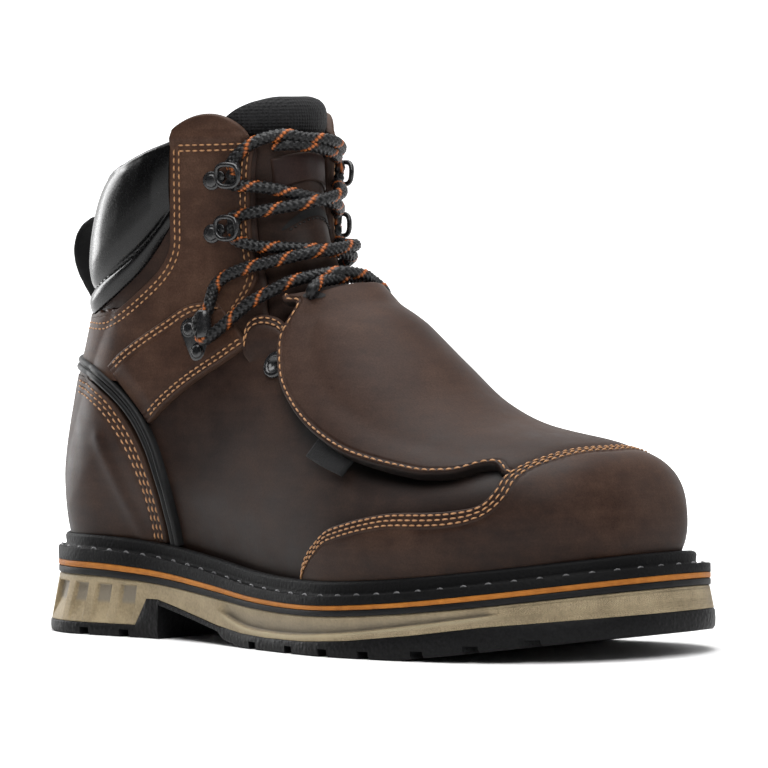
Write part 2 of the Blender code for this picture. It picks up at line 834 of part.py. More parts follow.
loft("welt", [
    sole_ring(layer_stations, BEAD_IN, ledge),
    sole_ring(layer_stations, BEAD_IN, lambda s: ledge(s) + BEAD_HIGH - 0.8),
    sole_ring(layer_stations, BEAD_IN - 0.9, lambda s: ledge(s) + BEAD_HIGH),
    sole_ring(layer_stations, lambda s: bead_out(s) + 1.2, lambda s: ledge(s) + BEAD_HIGH - 0.3),
    sole_ring(layer_stations, bead_out, lambda s: ledge(s) + BEAD_HIGH - 1.8),
    sole_ring(layer_stations, lambda s: bead_out(s) + 0.1, lambda s: ledge(s) + 0.6),
    sole_ring(layer_stations, lambda s: bead_out(s) - 0.5, ledge),
    sole_ring(layer_stations, draft, ledge),
    sole_ring(layer_stations, draft, level_below(3, GAP / 2)),
], rubber_black)

insole_inset = FEATHER + WALL + 1.0
loft("insole", [
    sole_ring(layer_stations, insole_inset, lambda s: ledge(s) + 4.0),
    sole_ring(layer_stations, insole_inset, lambda s: ledge(s) + 0.4),
], insole_grey)

# Upper: one hollow wall, open along the feather line, the throat and the collar
upper_rows = [0.0, 0.3, 0.7, 1.1, 1.6, 2.2, 3.0, 3.7, 4.4, 5.2, 6.0, 6.8, SLIT, 8.0, 8.6, 9.2, 9.8, 10.4, 10.8,
              11.2, 11.55, 11.8, 12.0, 12.35, 12.8, 13.3, 13.9, 14.5, 15.1, 15.7, 16.3, 17.0]
UPPER_SHARES = (0.0, 0.14, 0.26, 0.36, 0.45, 0.51, 0.56, 0.63, 0.72, 0.82, 0.91, 1.0)


def throat(k, side):
    gap = np.where(np.asarray(k) > SLIT, np.clip(section("gap", k), 0.0, None), 0.0)
    return phi_at_half(k, gap, side)


sheet = []
for side in (-1, 1):
    grid = [last(k, float(throat(k, side)) * np.array(UPPER_SHARES), side) for k in upper_rows]
    faces = grid_faces(len(upper_rows), len(UPPER_SHARES))
    sheet.append((np.concatenate(grid), faces if side < 0 else [tuple(reversed(f)) for f in faces]))
points, faces = joined(sheet)
upper = make_object("upper", points, faces, leather_dark)
face_outward(upper, (120.0, 0.0, 60.0))
wall = upper.modifiers.new("wall", "SOLIDIFY")
wall.thickness = WALL * 0.001
wall.offset = -1.0
wall.use_rim = True
wall.use_quality_normals = True

# Panels lying on the upper
def turn_above_bead(k, side=-1):
    turns = np.linspace(0.0, math.pi, 240)
    p = last(np.full(turns.shape, float(k)), turns, side)
    over = p[:, 2] - (ledge(np.clip(p[:, 0], 0.0, LENGTH)) + BEAD_HIGH + 1.3)
    return float(np.interp(0.0, np.maximum.accumulate(over), turns))


def both_sides(shares):
    """Column list from the lateral edge over the middle to the medial edge."""
    return [(-1, t) for t in shares] + [(1, t) for t in reversed(shares[:-1])]


cap_fan = [(i, float(k), float(phi)) for i, (k, phi) in enumerate(fan_at(s, z) for s, z in CAP_EDGE)]
cap_fan.append((len(CAP_EDGE), CAP_TOP_K, math.pi))


def cap_line(share, side, count):
    """Points from the welt bead up to the cap's rear edge, wrapping round the toe as share nears 1."""
    at = share * len(CAP_EDGE)
    end_k, end_phi = float(straight(cap_fan, 1, at)), float(straight(cap_fan, 2, at))
    corner_phi = cap_fan[CAP_CORNER][2]
    toward = max(0.0, (end_phi - corner_phi) / (math.pi - corner_phi)) if at > CAP_CORNER else 0.0
    start_k = end_k + (CAP_TIP_K - end_k) * toward
    low = turn_above_bead(start_k)
    spring = min(CAP_SPRING, end_phi)
    k = np.full(CAP_STEPS, start_k)
    phi = np.linspace(low, max(low, spring), CAP_STEPS)
    turn = np.linspace(0.0, math.pi / 2, CAP_STEPS)[1:]
    power = max(1.0 - toward, CAP_SQUARE)
    arc_k = end_k + (start_k - end_k) * np.cos(turn) ** power
    arc_phi = phi[-1] + (end_phi - phi[-1]) * np.sin(turn) ** power
    if share == 1.0:
        arc_k = np.concatenate([k, np.linspace(start_k, end_k, CAP_STEPS)])
        arc_phi = np.concatenate([np.linspace(phi[-1], math.pi, CAP_STEPS), np.full(CAP_STEPS, math.pi)])
    arc_k[-1] = end_k
    points = last(np.concatenate([k, arc_k]), np.concatenate([phi, arc_phi]), side)
    run = np.concatenate([[0.0], np.cumsum(np.linalg.norm(np.diff(points, axis=0), axis=1))])
    even = np.linspace(0.0, run[-1], count)
    return np.stack([np.interp(even, run, points[:, axis]) for axis in range(3)], 1)


cap_cols = both_sides([0.0, 0.07, 0.16, 0.28, 0.42, 0.55, 0.66, 0.74, 0.82, 0.89, 0.95, 1.0])
grid = np.stack([cap_line(share, side, 9) for side, share in cap_cols], 1)
cover("toe_cap", grid, CAP_GAP, CAP_GAP + CAP_THICK, leather)

guard_table = sorted((float(k), float(phi)) for k, phi in (fan_at(s, z) for s, z in GUARD_EDGE))
cap_front = sorted((float(phi), float(k)) for k, phi in (fan_at(s, z) for s, z in CAP_EDGE[-4:]))
cap_front.append((math.pi, CAP_TOP_K))
guard_rows = np.linspace(0.0, 1.0, 14)
guard_cols = both_sides([0.0, 0.12, 0.27, 0.44, 0.62, 0.81, 1.0])
grid = np.empty((len(guard_rows), len(guard_cols), 3))
lift = np.empty((len(guard_rows), len(guard_cols)))
for j, (side, t) in enumerate(guard_cols):
    edge = float(straight(guard_table, 1, CAP_TOP_K))
    front = float(straight(cap_front, 1, edge + t * (math.pi - edge))) + GUARD_FRONT_GAP
    top = GUARD_TOP_CORNER + (GUARD_TOP_RIDGE - GUARD_TOP_CORNER) * float(ease(t))
    for i, k in enumerate(front + (top - front) * guard_rows):
        edge = float(straight(guard_table, 1, k))
        grid[i, j] = last(k, edge + t * (math.pi - edge), side)
        free = float(curve(GUARD_LIFT, 2, k))
        lift[i, j] = free + (float(curve(GUARD_LIFT, 1, k)) - free) * float(ease(t))
cover("met_guard", grid, lift, lift + GUARD_THICK, leather)

bend = np.cos(np.linspace(0.0, math.pi / 2, 7))
levels = np.array([40.8, 48.0, 57.0, 66.0, 75.0, 84.0, 92.0, 98.0, 101.2, 103.0])
grid = np.empty((len(levels), 13, 3))
for i, z in enumerate(levels):
    rear = float(back_station(z)) + 0.02
    reach = float(curve(COUNTER_EDGE, 1, z)) - rear
    for j, (side, t) in enumerate([(-1, b) for b in bend] + [(1, b) for b in bend[-2::-1]]):
        turned = 1 - math.sqrt(max(0.0, 1 - t * t))
        grid[i, j] = on_last(rear + reach * turned, z, side)
cover("heel_counter", grid, COUNTER_GAP, COUNTER_GAP + COUNTER_THICK, leather)

path = np.array(PIPING)
around = np.linspace(0.0, 1.0, 11)
run = np.linspace(0.0, 1.0, len(path))
line = np.stack([np.interp(around, run, path[:, 0]), np.interp(around, run, path[:, 1])], 1)
heading = np.gradient(line, axis=0)
heading /= np.linalg.norm(heading, axis=1, keepdims=True)
offsets = np.array([-0.5, -0.25, 0.0, 0.25, 0.5]) * PIPING_WIDE
swell = SKIN_GAP + PIPING_THICK * np.array([0.35, 0.85, 1.0, 0.85, 0.35])
half_band = []
for (s, z), d in zip(line, heading):
    half_band.append([(s - d[1] * o, z + d[0] * o) for o in -offsets])
centre = [(float(back_station(PIPING_BACK + o)) + 0.02, PIPING_BACK + o) for o in offsets]
band = []
for side, rows in ((-1, half_band + [centre]), (1, half_band[::-1])):
    for row in rows:
        band.append([on_last(max(s, float(back_station(z)) + 0.02), z, side) for s, z in row])
grid = np.array(band)
cover("counter_piping", grid, SKIN_GAP, np.broadcast_to(swell, grid.shape[:2]), collar_black)

for side, word in ((-1, "lateral"), (1, "medial")):
    strap = np.array(STRAP)
    grid = np.empty((len(strap), 5, 3))
    for j, share in enumerate(np.linspace(0.0, 1.0, 5)):
        s = strap[:, 0] + (strap[:, 2] - strap[:, 0]) * share
        z = strap[:, 1] + (strap[:, 3] - strap[:, 1]) * share
        grid[:, j] = on_last(s, z, side)
    cover("strap_" + word, grid, SKIN_GAP, SKIN_GAP + STRAP_THICK, leather)

    grid = np.empty((len(QUARTER), 7, 3))
    for i, (rear_s, rear_z, front_k, rise) in enumerate(QUARTER):
        half = float(section("gap", front_k)) + QUARTER_SETBACK
        front = last(front_k, phi_at_half(front_k, half, side), side)
        share = np.linspace(0.0, 1.0, 7)
        s = rear_s + (front[0] - rear_s) * share
        z = rear_z + (front[2] - rear_z) * share + rise * 4 * share * (1 - share)
        grid[i] = on_last(s, z, side)
        grid[i, -1] = front
    cover("quarter_" + word, grid, SKIN_GAP, SKIN_GAP + QUARTER_THICK, leather)

# Padded collar: a low roll, a stitched channel and a full roll up to the rim
pad = np.array(COLLAR_PAD)
profile = np.array(PAD_PROFILE)
pad_cols = [(-1, j) for j in range(len(pad) - 1, -1, -1)] + [(1, j) for j in range(1, len(pad))]
edge_fade = np.array([1.0, 1.0, 1.0, 1.0, 1.0, 0.95, 0.8, 0.4])
grid = np.empty((len(profile), len(pad_cols), 3))
thick = np.empty((len(profile), len(pad_cols)))
for j, (side, column) in enumerate(pad_cols):
    low_s, low_z, rim_s, rim_z = pad[column]
    z = low_z + (rim_z - low_z) * profile[:, 0]
    s = low_s + (rim_s - low_s) * profile[:, 0]
    s = np.maximum(s, back_station(z) + 0.02) if column else back_station(z) + 0.02
    grid[:, j] = on_last(s, z, side)
    thick[:, j] = profile[:, 1] * edge_fade[column]
cover("collar_pad", grid, SKIN_GAP, SKIN_GAP + thick, collar_black)

# Tongue behind the throat
tongue_cols = np.linspace(-1.0, 1.0, 9)
face = np.empty((len(TONGUE), len(tongue_cols), 3))
back = np.empty(face.shape)
for i, (k, half, inward, thickness) in enumerate(TONGUE):
    for j, share in enumerate(tongue_cols):
        side = -1 if share < 0 else 1
        phi = float(phi_at_half(k, half * abs(share), side))
        here = last(k, phi, side)
        normal = outward(k, min(phi, math.pi - 0.03), side)
        face[i, j] = here - normal * inward
        back[i, j] = here - normal * (inward + thickness * (1 - 0.45 * share**4))
shell("tongue", face, back, leather_dark)


# Hooks and eyelets
def frame_on(s, z, side):
    here = on_last(s, z, side)
    ahead = on_last(s + 1.0, z, side) - on_last(s - 1.0, z, side)
    above = on_last(s, z + 1.0, side) - on_last(s, z - 1.0, side)
    ahead = ahead / np.linalg.norm(ahead)
    out = np.cross(ahead, above) * (1 if side < 0 else -1)
    out = out / np.linalg.norm(out)
    return here, ahead, out, np.cross(out, ahead)


for side, word in ((-1, "lateral"), (1, "medial")):
    for name, s, z in HOOKS:
        here, ahead, out, across = frame_on(s, z, side)
        stand = SKIN_GAP + (STRAP_THICK if name == "lock" else QUARTER_THICK) + 0.65
        strip = np.array(HOOK_STRIP)
        centre = here + np.outer(strip[:, 0], ahead) + np.outer(strip[:, 1] + stand, out)
        direction = np.gradient(centre, axis=0)
        direction /= np.linalg.norm(direction, axis=1, keepdims=True)
        face = np.cross(across, direction)
        face *= np.sign(np.sum(face[0] * out))
        wide = strip[:, 2:3] * across
        rings = np.stack([centre - wide, centre + wide, centre + wide + face * HOOK_THICK,
                          centre - wide + face * HOOK_THICK], 1)
        faces = grid_faces(len(strip), 4, closed=True)
        faces.append((0, 1, 2, 3))
        faces.append(tuple(4 * (len(strip) - 1) + n for n in range(4)))
        make_object("hook_" + name + "_" + word, rings.reshape(-1, 3), faces, metal_black)
    here, ahead, out, across = frame_on(EYELET[0], EYELET[1], side)
    turn = np.linspace(0.0, 2 * math.pi, 12, endpoint=False)
    spoke = np.outer(np.cos(turn), ahead) + np.outer(np.sin(turn), across)
    rings = []
    for radius, rise in ((EYELET_OUT, 0.9), (EYELET_OUT - 0.5, 1.5), (EYELET_IN + 0.4, 1.5), (EYELET_IN, 0.9)):
        rings.append(here + spoke * radius + out * rise)
    faces = grid_faces(4, 12, closed=True)
    faces += [(36 + j, 36 + (j + 1) % 12, (j + 1) % 12, j) for j in range(12)]
    make_object("eyelet_" + word, np.concatenate(rings), faces, metal_black)

# Lace: one cord from hook to hook over the tongue
hook_k = {}
for name, s, z in HOOKS:
    k, phi = fan_at(s + 9.0, z)
    hook_k[name] = float(k)
lace_path = []
for (a, b, over) in zip(LACE_TURNS[:-1], LACE_TURNS[1:], LACE_OVER):
    steps = np.linspace(0.0, 1.0, 8)
    for t in steps if a is LACE_TURNS[0] else steps[1:]:
        k = hook_k[a[0]] + a[2] + (hook_k[b[0]] + b[2] - hook_k[a[0]] - a[2]) * t
        y = LACE_HALF * (a[1] + (b[1] - a[1]) * t)
        side = -1 if y < 0 else 1
        phi = float(phi_at_half(k, abs(y), side))
        here = last(k, phi, side)
        out = outward(k, min(phi, math.pi - 0.03), side)
        lace_path.append(here + out * (LACE_LIFT + over * math.sin(math.pi * t) ** 2))
points, faces = tube(lace_path, LACE_RADIUS)
make_object("lace", points, faces, lace_black)

# Pull loop and guard tag
loop = np.array(PULL_LOOP)
t = np.linspace(0.0, len(loop) - 1.0, 13)
rows = np.column_stack([np.arange(len(loop)), loop])
line = np.stack([curve(rows, 1, t), np.zeros(len(t)), curve(rows, 2, t)], 1)
heading = np.gradient(line, axis=0)
heading /= np.linalg.norm(heading, axis=1, keepdims=True)
out = np.stack([heading[:, 2], np.zeros(len(t)), -heading[:, 0]], 1) * LOOP_THICK / 2
wide = np.array([0.0, LOOP_HALF, 0.0])
rings = np.stack([line - out - wide, line - out + wide, line + out + wide, line + out - wide], 1)
faces = grid_faces(len(t), 4, closed=True)
faces.append((0, 1, 2, 3))
faces.append(tuple(4 * (len(t) - 1) + n for n in range(4)))
make_object("pull_loop", rings.reshape(-1, 3), faces, fabric_black)

grid = np.empty((len(TAG), 2, 3))
for i, (high_s, high_z, low_s, low_z) in enumerate(TAG):
    grid[i, 0] = on_last(high_s, high_z, -1)
    grid[i, 1] = on_last(low_s, low_z, -1)
hang = np.broadcast_to(np.array([TAG_LIFT, TAG_DROP]), grid.shape[:2])
cover("guard_tag", grid, hang, hang + TAG_THICK, fabric_black)
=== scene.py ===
# Looks of the right-foot work boot, laid over the frame of its solids.
# Stations run in millimetres from the back of the heel; lateral is -Y, medial is +Y, up is +Z.
import bpy
import bmesh
import math
import numpy as np
from mathutils import Matrix, Vector


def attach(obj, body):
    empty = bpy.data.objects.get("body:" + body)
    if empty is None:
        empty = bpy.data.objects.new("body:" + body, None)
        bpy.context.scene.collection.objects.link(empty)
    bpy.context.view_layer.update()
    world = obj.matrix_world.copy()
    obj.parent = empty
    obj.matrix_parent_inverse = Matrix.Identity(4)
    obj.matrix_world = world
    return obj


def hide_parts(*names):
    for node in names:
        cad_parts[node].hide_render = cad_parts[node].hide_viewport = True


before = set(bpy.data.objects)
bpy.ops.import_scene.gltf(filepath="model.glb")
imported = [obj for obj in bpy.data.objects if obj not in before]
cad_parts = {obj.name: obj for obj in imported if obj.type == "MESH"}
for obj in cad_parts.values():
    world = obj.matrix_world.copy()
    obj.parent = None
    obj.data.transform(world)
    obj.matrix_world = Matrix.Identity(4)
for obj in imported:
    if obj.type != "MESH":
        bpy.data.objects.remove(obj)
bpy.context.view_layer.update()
print("frame loaded,", len(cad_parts), "nodes")

# sizes of the last and the sole, as in the solids
form = {"length": 316.0, "heelRound": 40.0, "heelPower": 2.2, "toeRound": 62.0, "toePower": 2.35,
        "swingFrom": 190.0, "swing": 15.0, "heelDraft": 3.0, "toeDraft": 1.2, "feather": 9.2,
        "springFrom": 235.0, "spring": 9.6, "springPower": 1.15, "origin": 52.0,
        "heelPoint": 12, "slit": 7.5, "wall": 2.2, "toeIn": 2.6, "heelIn": 2.0}

outline = (  # station, half width lateral, medial
    (0.0, 39.0, 40.0), (45.0, 39.0, 40.0), (85.0, 38.0, 37.0), (125.0, 43.5, 36.5), (165.0, 52.5, 43.0),
    (200.0, 58.5, 52.0), (232.0, 58.2, 57.5), (265.0, 55.5, 58.0), (316.0, 48.3, 53.0))

layers = (  # station, ledge height, thickness of welt, runner, stripe
    (0.0, 34.2, 5.2, 2.6, 2.8), (60.0, 33.8, 5.2, 2.6, 2.8), (90.0, 31.6, 5.0, 2.5, 2.7),
    (120.0, 28.2, 4.6, 2.3, 2.6), (150.0, 24.6, 4.0, 2.1, 2.4), (190.0, 22.8, 3.6, 1.9, 2.3),
    (235.0, 25.0, 3.5, 2.0, 2.4), (275.0, 29.2, 3.5, 2.2, 2.5), (316.0, 34.6, 3.5, 2.3, 2.6))

treadTopRows = (  # station, height
    (0.0, 5.0), (72.0, 5.0), (79.0, 15.6), (86.0, 15.6), (108.0, 11.2), (127.0, 7.6), (145.0, 5.6),
    (165.0, 5.0), (190.0, 5.2), (215.0, 6.6), (245.0, 9.6), (275.0, 13.4), (316.0, 17.0))

treadLowRows = (  # station, height
    (0.0, 1.4), (14.0, 0.0), (86.0, 0.0), (86.6, 13.2), (108.0, 9.0), (127.0, 5.2), (131.0, 2.4),
    (146.0, 0.0), (235.0, 0.0))

sections = (  # fan of the last: base, top, half widths, shape powers, heel round, bow, half throat
    # baseS, baseZ, topS, topZ, lateral, medial, level, low, high, round, bow, gap
    (306.8, 0.0, 306.8, 38.0, 0.0, 0.0, 0.50, 2.0, 2.0, 40.0, 0.0, 0.0),
    (303.4, 0.0, 308.0, 50.0, 17.0, 18.0, 0.45, 2.3, 2.2, 40.0, 0.0, 0.0),
    (294.5, 0.0, 304.0, 63.5, 28.5, 29.0, 0.42, 2.4, 2.4, 40.0, 0.0, 0.0),
    (280.0, 0.0, 294.5, 73.0, 39.5, 39.5, 0.40, 2.4, 2.5, 40.0, 0.0, 0.0),
    (258.0, 0.0, 275.0, 76.5, 48.0, 47.5, 0.36, 2.4, 2.5, 40.0, 0.0, 0.0),
    (226.0, 0.0, 244.0, 78.5, 52.5, 50.5, 0.32, 2.3, 2.2, 40.0, 0.0, 0.0),
    (196.0, 0.0, 220.0, 88.0, 52.0, 46.5, 0.30, 2.3, 2.0, 40.0, 0.0, 0.0),
    (164.0, 0.0, 200.0, 103.0, 48.0, 40.5, 0.30, 2.2, 2.0, 40.0, 0.0, 0.0),
    (128.0, 0.0, 181.0, 118.5, 42.5, 37.5, 0.30, 2.2, 2.0, 40.0, 0.0, 12.0),
    (92.0, 0.0, 166.0, 131.5, 38.0, 36.5, 0.32, 2.2, 2.0, 40.0, 0.0, 19.5),
    (55.0, 0.0, 155.0, 143.0, 36.0, 36.0, 0.33, 2.2, 2.0, 40.0, 0.0, 23.2),
    (25.0, 0.0, 149.0, 153.0, 35.5, 35.5, 0.36, 2.2, 2.0, 40.0, 0.0, 20.6),
    (9.2, 35.0, 145.5, 162.0, 35.5, 35.5, 0.38, 2.2, 2.0, 40.0, 0.0, 20.0),
    (7.0, 62.0, 143.0, 171.0, 35.5, 35.5, 0.40, 2.1, 2.0, 40.0, 0.0, 20.0),
    (17.0, 96.0, 141.0, 180.0, 35.0, 35.0, 0.42, 2.1, 2.0, 40.0, 1.0, 20.0),
    (27.5, 124.0, 139.5, 189.0, 35.5, 35.5, 0.44, 2.1, 2.0, 40.0, 2.0, 20.0),
    (33.5, 148.0, 138.0, 198.0, 36.5, 36.5, 0.46, 2.1, 2.0, 36.0, 4.5, 20.0),
    (42.0, 171.0, 136.0, 208.0, 37.0, 37.0, 0.48, 2.1, 2.0, 31.0, 7.0, 27.0),
    (49.0, 184.0, 133.0, 216.0, 37.0, 37.0, 0.48, 2.1, 2.0, 29.0, 7.0, 30.0))
sectionNames = "baseS baseZ topS topZ lateral medial level low high round bow gap".split()
sectionRows = np.array([(k,) + row for k, row in enumerate(sections)], float)


def curve(table, column, at):
    rows = np.asarray(table, float)
    xs, ys, at = rows[:, 0], rows[:, column], np.asarray(at, float)
    step = np.diff(xs)
    slope = np.diff(ys) / step
    inner = (slope[:-1] * step[1:] + slope[1:] * step[:-1]) / (step[:-1] + step[1:])
    tangent = np.concatenate([slope[:1], inner, slope[-1:]])
    i = np.clip(np.searchsorted(xs, at) - 1, 0, len(xs) - 2)
    t = np.clip((at - xs[i]) / step[i], 0.0, 1.0)
    start = (2 * t**3 - 3 * t**2 + 1) * ys[i] + (t**3 - 2 * t**2 + t) * step[i] * tangent[i]
    end = (3 * t**2 - 2 * t**3) * ys[i + 1] + (t**3 - t**2) * step[i] * tangent[i + 1]
    return start + end


def straight(table, column, at):
    rows = np.asarray(table, float)
    return np.interp(at, rows[:, 0], rows[:, column])


def ease(t):
    t = np.clip(t, 0.0, 1.0)
    return t * t * (3 - 2 * t)


def swing(s):
    share = (s - form["swingFrom"]) / (form["length"] - form["swingFrom"])
    return form["swing"] * np.clip(share, 0.0, 1.2) ** 2


def ledge(s):
    return curve(layers, 1, s)


def draft(s):
    return form["heelDraft"] * ease((70.0 - s) / 50.0) + form["toeDraft"] * ease((s - 246.0) / 50.0)


def rounded(share, power):
    return (1 - np.clip(1 - share, 0.0, 1.0) ** power) ** (1 / power)


def toeWidth(s, side, inset):
    wide = curve(outline, 1 if side < 0 else 2, s) - inset
    return wide * rounded((form["length"] - inset - s) / form["toeRound"], form["toePower"])


def halfWidth(s, side, inset):
    return toeWidth(s, side, inset) * rounded((s - inset) / form["heelRound"], form["heelPower"])


def treadTop(s):
    return straight(treadTopRows, 1, s)


def treadLow(s):
    rise = np.clip((s - form["springFrom"]) / (form["length"] - form["springFrom"]), 0.0, 1.0)
    return straight(treadLowRows, 1, s) + form["spring"] * rise ** form["springPower"]


def section(name, k):
    return curve(sectionRows, 1 + sectionNames.index(name), k)


def basePoint(k):
    k = np.asarray(k, float)
    heel = form["heelPoint"]
    s = section("baseS", k)
    s = np.where(k <= heel, np.clip(s, form["feather"], form["length"] - form["feather"]), s)
    back = [(i, sections[i][1]) for i in range(heel, len(sections))]
    z = np.where(k < heel, ledge(s) + 0.6, curve(back, 1, np.maximum(k, heel)))
    return s, z


backLine = basePoint(np.linspace(form["heelPoint"], len(sections) - 1, 260))


def backStation(z):
    return np.interp(z, backLine[1], backLine[0])


# a point of the last: section k, turn phi from the feather line (0) to the ridge (pi)
def last(k, phi, side):
    k, phi = np.broadcast_arrays(np.asarray(k, float), np.asarray(phi, float))
    baseS, baseZ = basePoint(k)
    wide = section("lateral" if side < 0 else "medial", k)
    level = section("level", k)
    high = 2 / section("high", k)
    cosine = np.abs(np.cos(phi))
    lower = phi < math.pi / 2
    rise = 1 - cosine ** (2 / section("low", k))
    q = np.where(lower, level * rise, level + (1 - level) * cosine**high)
    s = baseS + (section("topS", k) - baseS) * q
    z = baseZ + (section("topZ", k) - baseZ) * q + section("bow", k) * 4 * q * (1 - q)
    closed = ease((k - form["heelPoint"]) / 2.5)
    wall = toeWidth(np.clip(s, form["feather"], form["length"] - form["feather"]), side, form["feather"])
    wall = wall + (wide - wall) * np.maximum(closed, ease(rise))
    heel = rounded((s - backStation(z)) / section("round", k), form["heelPower"])
    heel = np.where((phi < 1e-6) & (k >= form["heelPoint"]), 0.0, heel)
    w = np.where(lower, wall * heel, wide * np.abs(np.sin(phi)) ** high)
    toeIn = form["toeIn"] * ease((s - 238.0) / 64.0) * (0.55 + 0.45 * ease(phi))
    heelIn = form["heelIn"] * ease((62.0 - z) / 26.0) * ease((34.0 - s) / 28.0)
    return np.stack([s - toeIn + heelIn, swing(s) + side * w - toeIn * (side > 0) * ease(w / 30.0), z], -1)


def outward(k, phi, side):
    phi = np.clip(phi, 0.03, math.pi - 0.03)
    along = last(k + 0.05, phi, side) - last(k - 0.05, phi, side)
    turned = last(k, phi + 0.02, side) - last(k, phi - 0.02, side)
    normal = np.cross(along, turned) * side
    return normal / np.maximum(np.linalg.norm(normal, axis=-1, keepdims=True), 1e-9)


def phiAtHalf(k, half, side):
    wide = np.maximum(section("lateral" if side < 0 else "medial", k), 0.01)
    share = np.clip(half / wide, 0.0, 1.0) ** (section("high", k) / 2)
    return math.pi - np.arcsin(share)


def throat(k, side):
    gap = np.where(np.asarray(k) > form["slit"], np.clip(section("gap", k), 0.0, None), 0.0)
    return phiAtHalf(k, gap, side)


# section and turn of side-view points, looked up a few thousand at a time
def fanAt(s, z):
    s, z = np.broadcast_arrays(np.asarray(s, float), np.asarray(z, float))
    ks = np.linspace(0.05, len(sections) - 1, 720)
    baseS, baseZ = basePoint(ks)
    run = section("topS", ks) - baseS
    climb = section("topZ", ks) - baseZ
    size = run**2 + climb**2
    bow = section("bow", ks) * 4
    foundK, foundQ = [], []
    for start in range(0, s.size, 3000):
        ss = s.ravel()[start:start + 3000, None]
        zz = z.ravel()[start:start + 3000, None]
        q = ((ss - baseS) * run + (zz - baseZ) * climb) / size
        for turn in range(3):
            lift = bow * np.clip(q * (1 - q), 0.0, None)
            q = ((ss - baseS) * run + (zz - lift - baseZ) * climb) / size
        off = run * (zz - lift - baseZ) - climb * (ss - baseS)
        cross = (off[:, :-1] * off[:, 1:] <= 0) & (q[:, :-1] > -0.2) & (q[:, :-1] < 1.2)
        hit = cross.any(1)
        final = cross.shape[1] - 1 - np.argmax(cross[:, ::-1], 1)
        near = np.argmin(np.abs(off) / np.sqrt(size), 1)
        i = np.minimum(np.where(hit, final, near), len(ks) - 2)
        row = np.arange(len(i))
        gap = off[row, i] - off[row, i + 1]
        share = np.where(hit & (gap != 0), off[row, i] / np.where(gap == 0, 1.0, gap), 0.0)
        foundK.append(ks[i] + (ks[i + 1] - ks[i]) * share)
        foundQ.append(np.clip(q[row, i] + (q[row, i + 1] - q[row, i]) * share, 0.0, 1.0))
    k = np.concatenate(foundK).reshape(s.shape)
    q = np.concatenate(foundQ).reshape(s.shape)
    level = section("level", k)
    lower = np.arccos((1 - np.clip(q / level, 0.0, 1.0)) ** (section("low", k) / 2))
    upper = math.pi - np.arccos(np.clip((q - level) / (1 - level), 0.0, 1.0) ** (section("high", k) / 2))
    return k, np.where(q < level, lower, upper)


def onLast(s, z, side):
    k, phi = fanAt(np.maximum(s, backStation(z) + 0.02), z)
    return last(k, phi, side)


# mesh helpers
def gridFaces(rows, cols, start=0, closed=False):
    i, j = np.meshgrid(np.arange(rows - 1), np.arange(cols if closed else cols - 1), indexing="ij")
    n = (j + 1) % cols
    a = start + i * cols
    return np.stack([a + j, a + n, a + cols + n, a + cols + j], -1).reshape(-1, 4).tolist()


def unit(v):
    return v / np.maximum(np.linalg.norm(v, axis=-1, keepdims=True), 1e-9)


def gridNormals(grid):
    normal = unit(np.cross(np.gradient(grid, axis=0), np.gradient(grid, axis=1)))
    middle = np.array([120.0, 0.0, 60.0])
    return normal if np.sum(normal * (grid - middle)) > 0 else -normal


def meshPiece(name, points, faces, material, marks=None):
    mesh = bpy.data.meshes.new(name)
    world = (np.asarray(points, float) - (form["origin"], 0.0, 0.0)) * 0.001
    mesh.from_pydata(world.tolist(), [], faces)
    mesh.polygons.foreach_set("use_smooth", np.ones(len(mesh.polygons), bool))
    for mark, values in (marks or {}).items():
        values = np.asarray(values, float)
        if values.ndim == 1:
            mesh.attributes.new(mark, "FLOAT", "POINT").data.foreach_set("value", values)
        else:
            corner = np.empty(len(mesh.loops), int)
            mesh.loops.foreach_get("vertex_index", corner)
            mesh.uv_layers.new(name=mark).data.foreach_set("uv", values[corner].ravel())
    made = bpy.data.objects.new(name, mesh)
    bpy.context.scene.collection.objects.link(made)
    mesh.materials.append(material)
    return made


def turnOut(made):
    work = bmesh.new()
    work.from_mesh(made.data)
    bmesh.ops.recalc_face_normals(work, faces=work.faces)
    work.to_mesh(made.data)
    work.free()


def place(made, slot, *nodes):
    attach(made, "root")
    if nodes:
        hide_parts(*nodes)
    return made


# distance from a line's start to each of its points
def runAlong(line):
    return np.concatenate([[0.0], np.cumsum(np.linalg.norm(np.diff(line, axis=0), axis=1))])


def readAt(at, run, line):
    return np.stack([np.interp(at, run, line[:, c]) for c in range(line.shape[1])], -1)


# lines of a grid resampled by real distance from their two ends
def spread(lines, near, far, middle):
    made = []
    for line in lines:
        run = runAlong(line)
        total = run[-1]
        squeeze = min(1.0, total / (near[-1] + far[-1] + 2.0))
        start, end = np.array(near) * squeeze, total - np.array(far)[::-1] * squeeze
        at = np.concatenate([start, np.linspace(start[-1], end[0], middle + 2)[1:-1], end])
        made.append(readAt(at, run, line))
    return np.array(made)


edgeSteps = (0.0, 0.2, 0.45, 0.8, 1.3)


def nearSteps(seams):
    steps = set(edgeSteps)
    for away in seams:
        steps |= {away - 0.75, away - 0.38, away, away + 0.38, away + 0.75}
    return sorted(x for x in steps if x >= 0) + [max(steps) + 1.2]


def flip(grid):
    return np.swapaxes(grid, 0, 1)


def edgeRun(grid, edge):
    axis = 0 if edge in "se" else 1
    step = np.linalg.norm(np.diff(grid, axis=axis), axis=2)
    first = np.zeros_like(np.take(step, [0], axis))
    run = np.concatenate([first, np.cumsum(step, axis=axis)], axis)
    return run if edge in "sl" else np.take(run, [-1], axis) - run


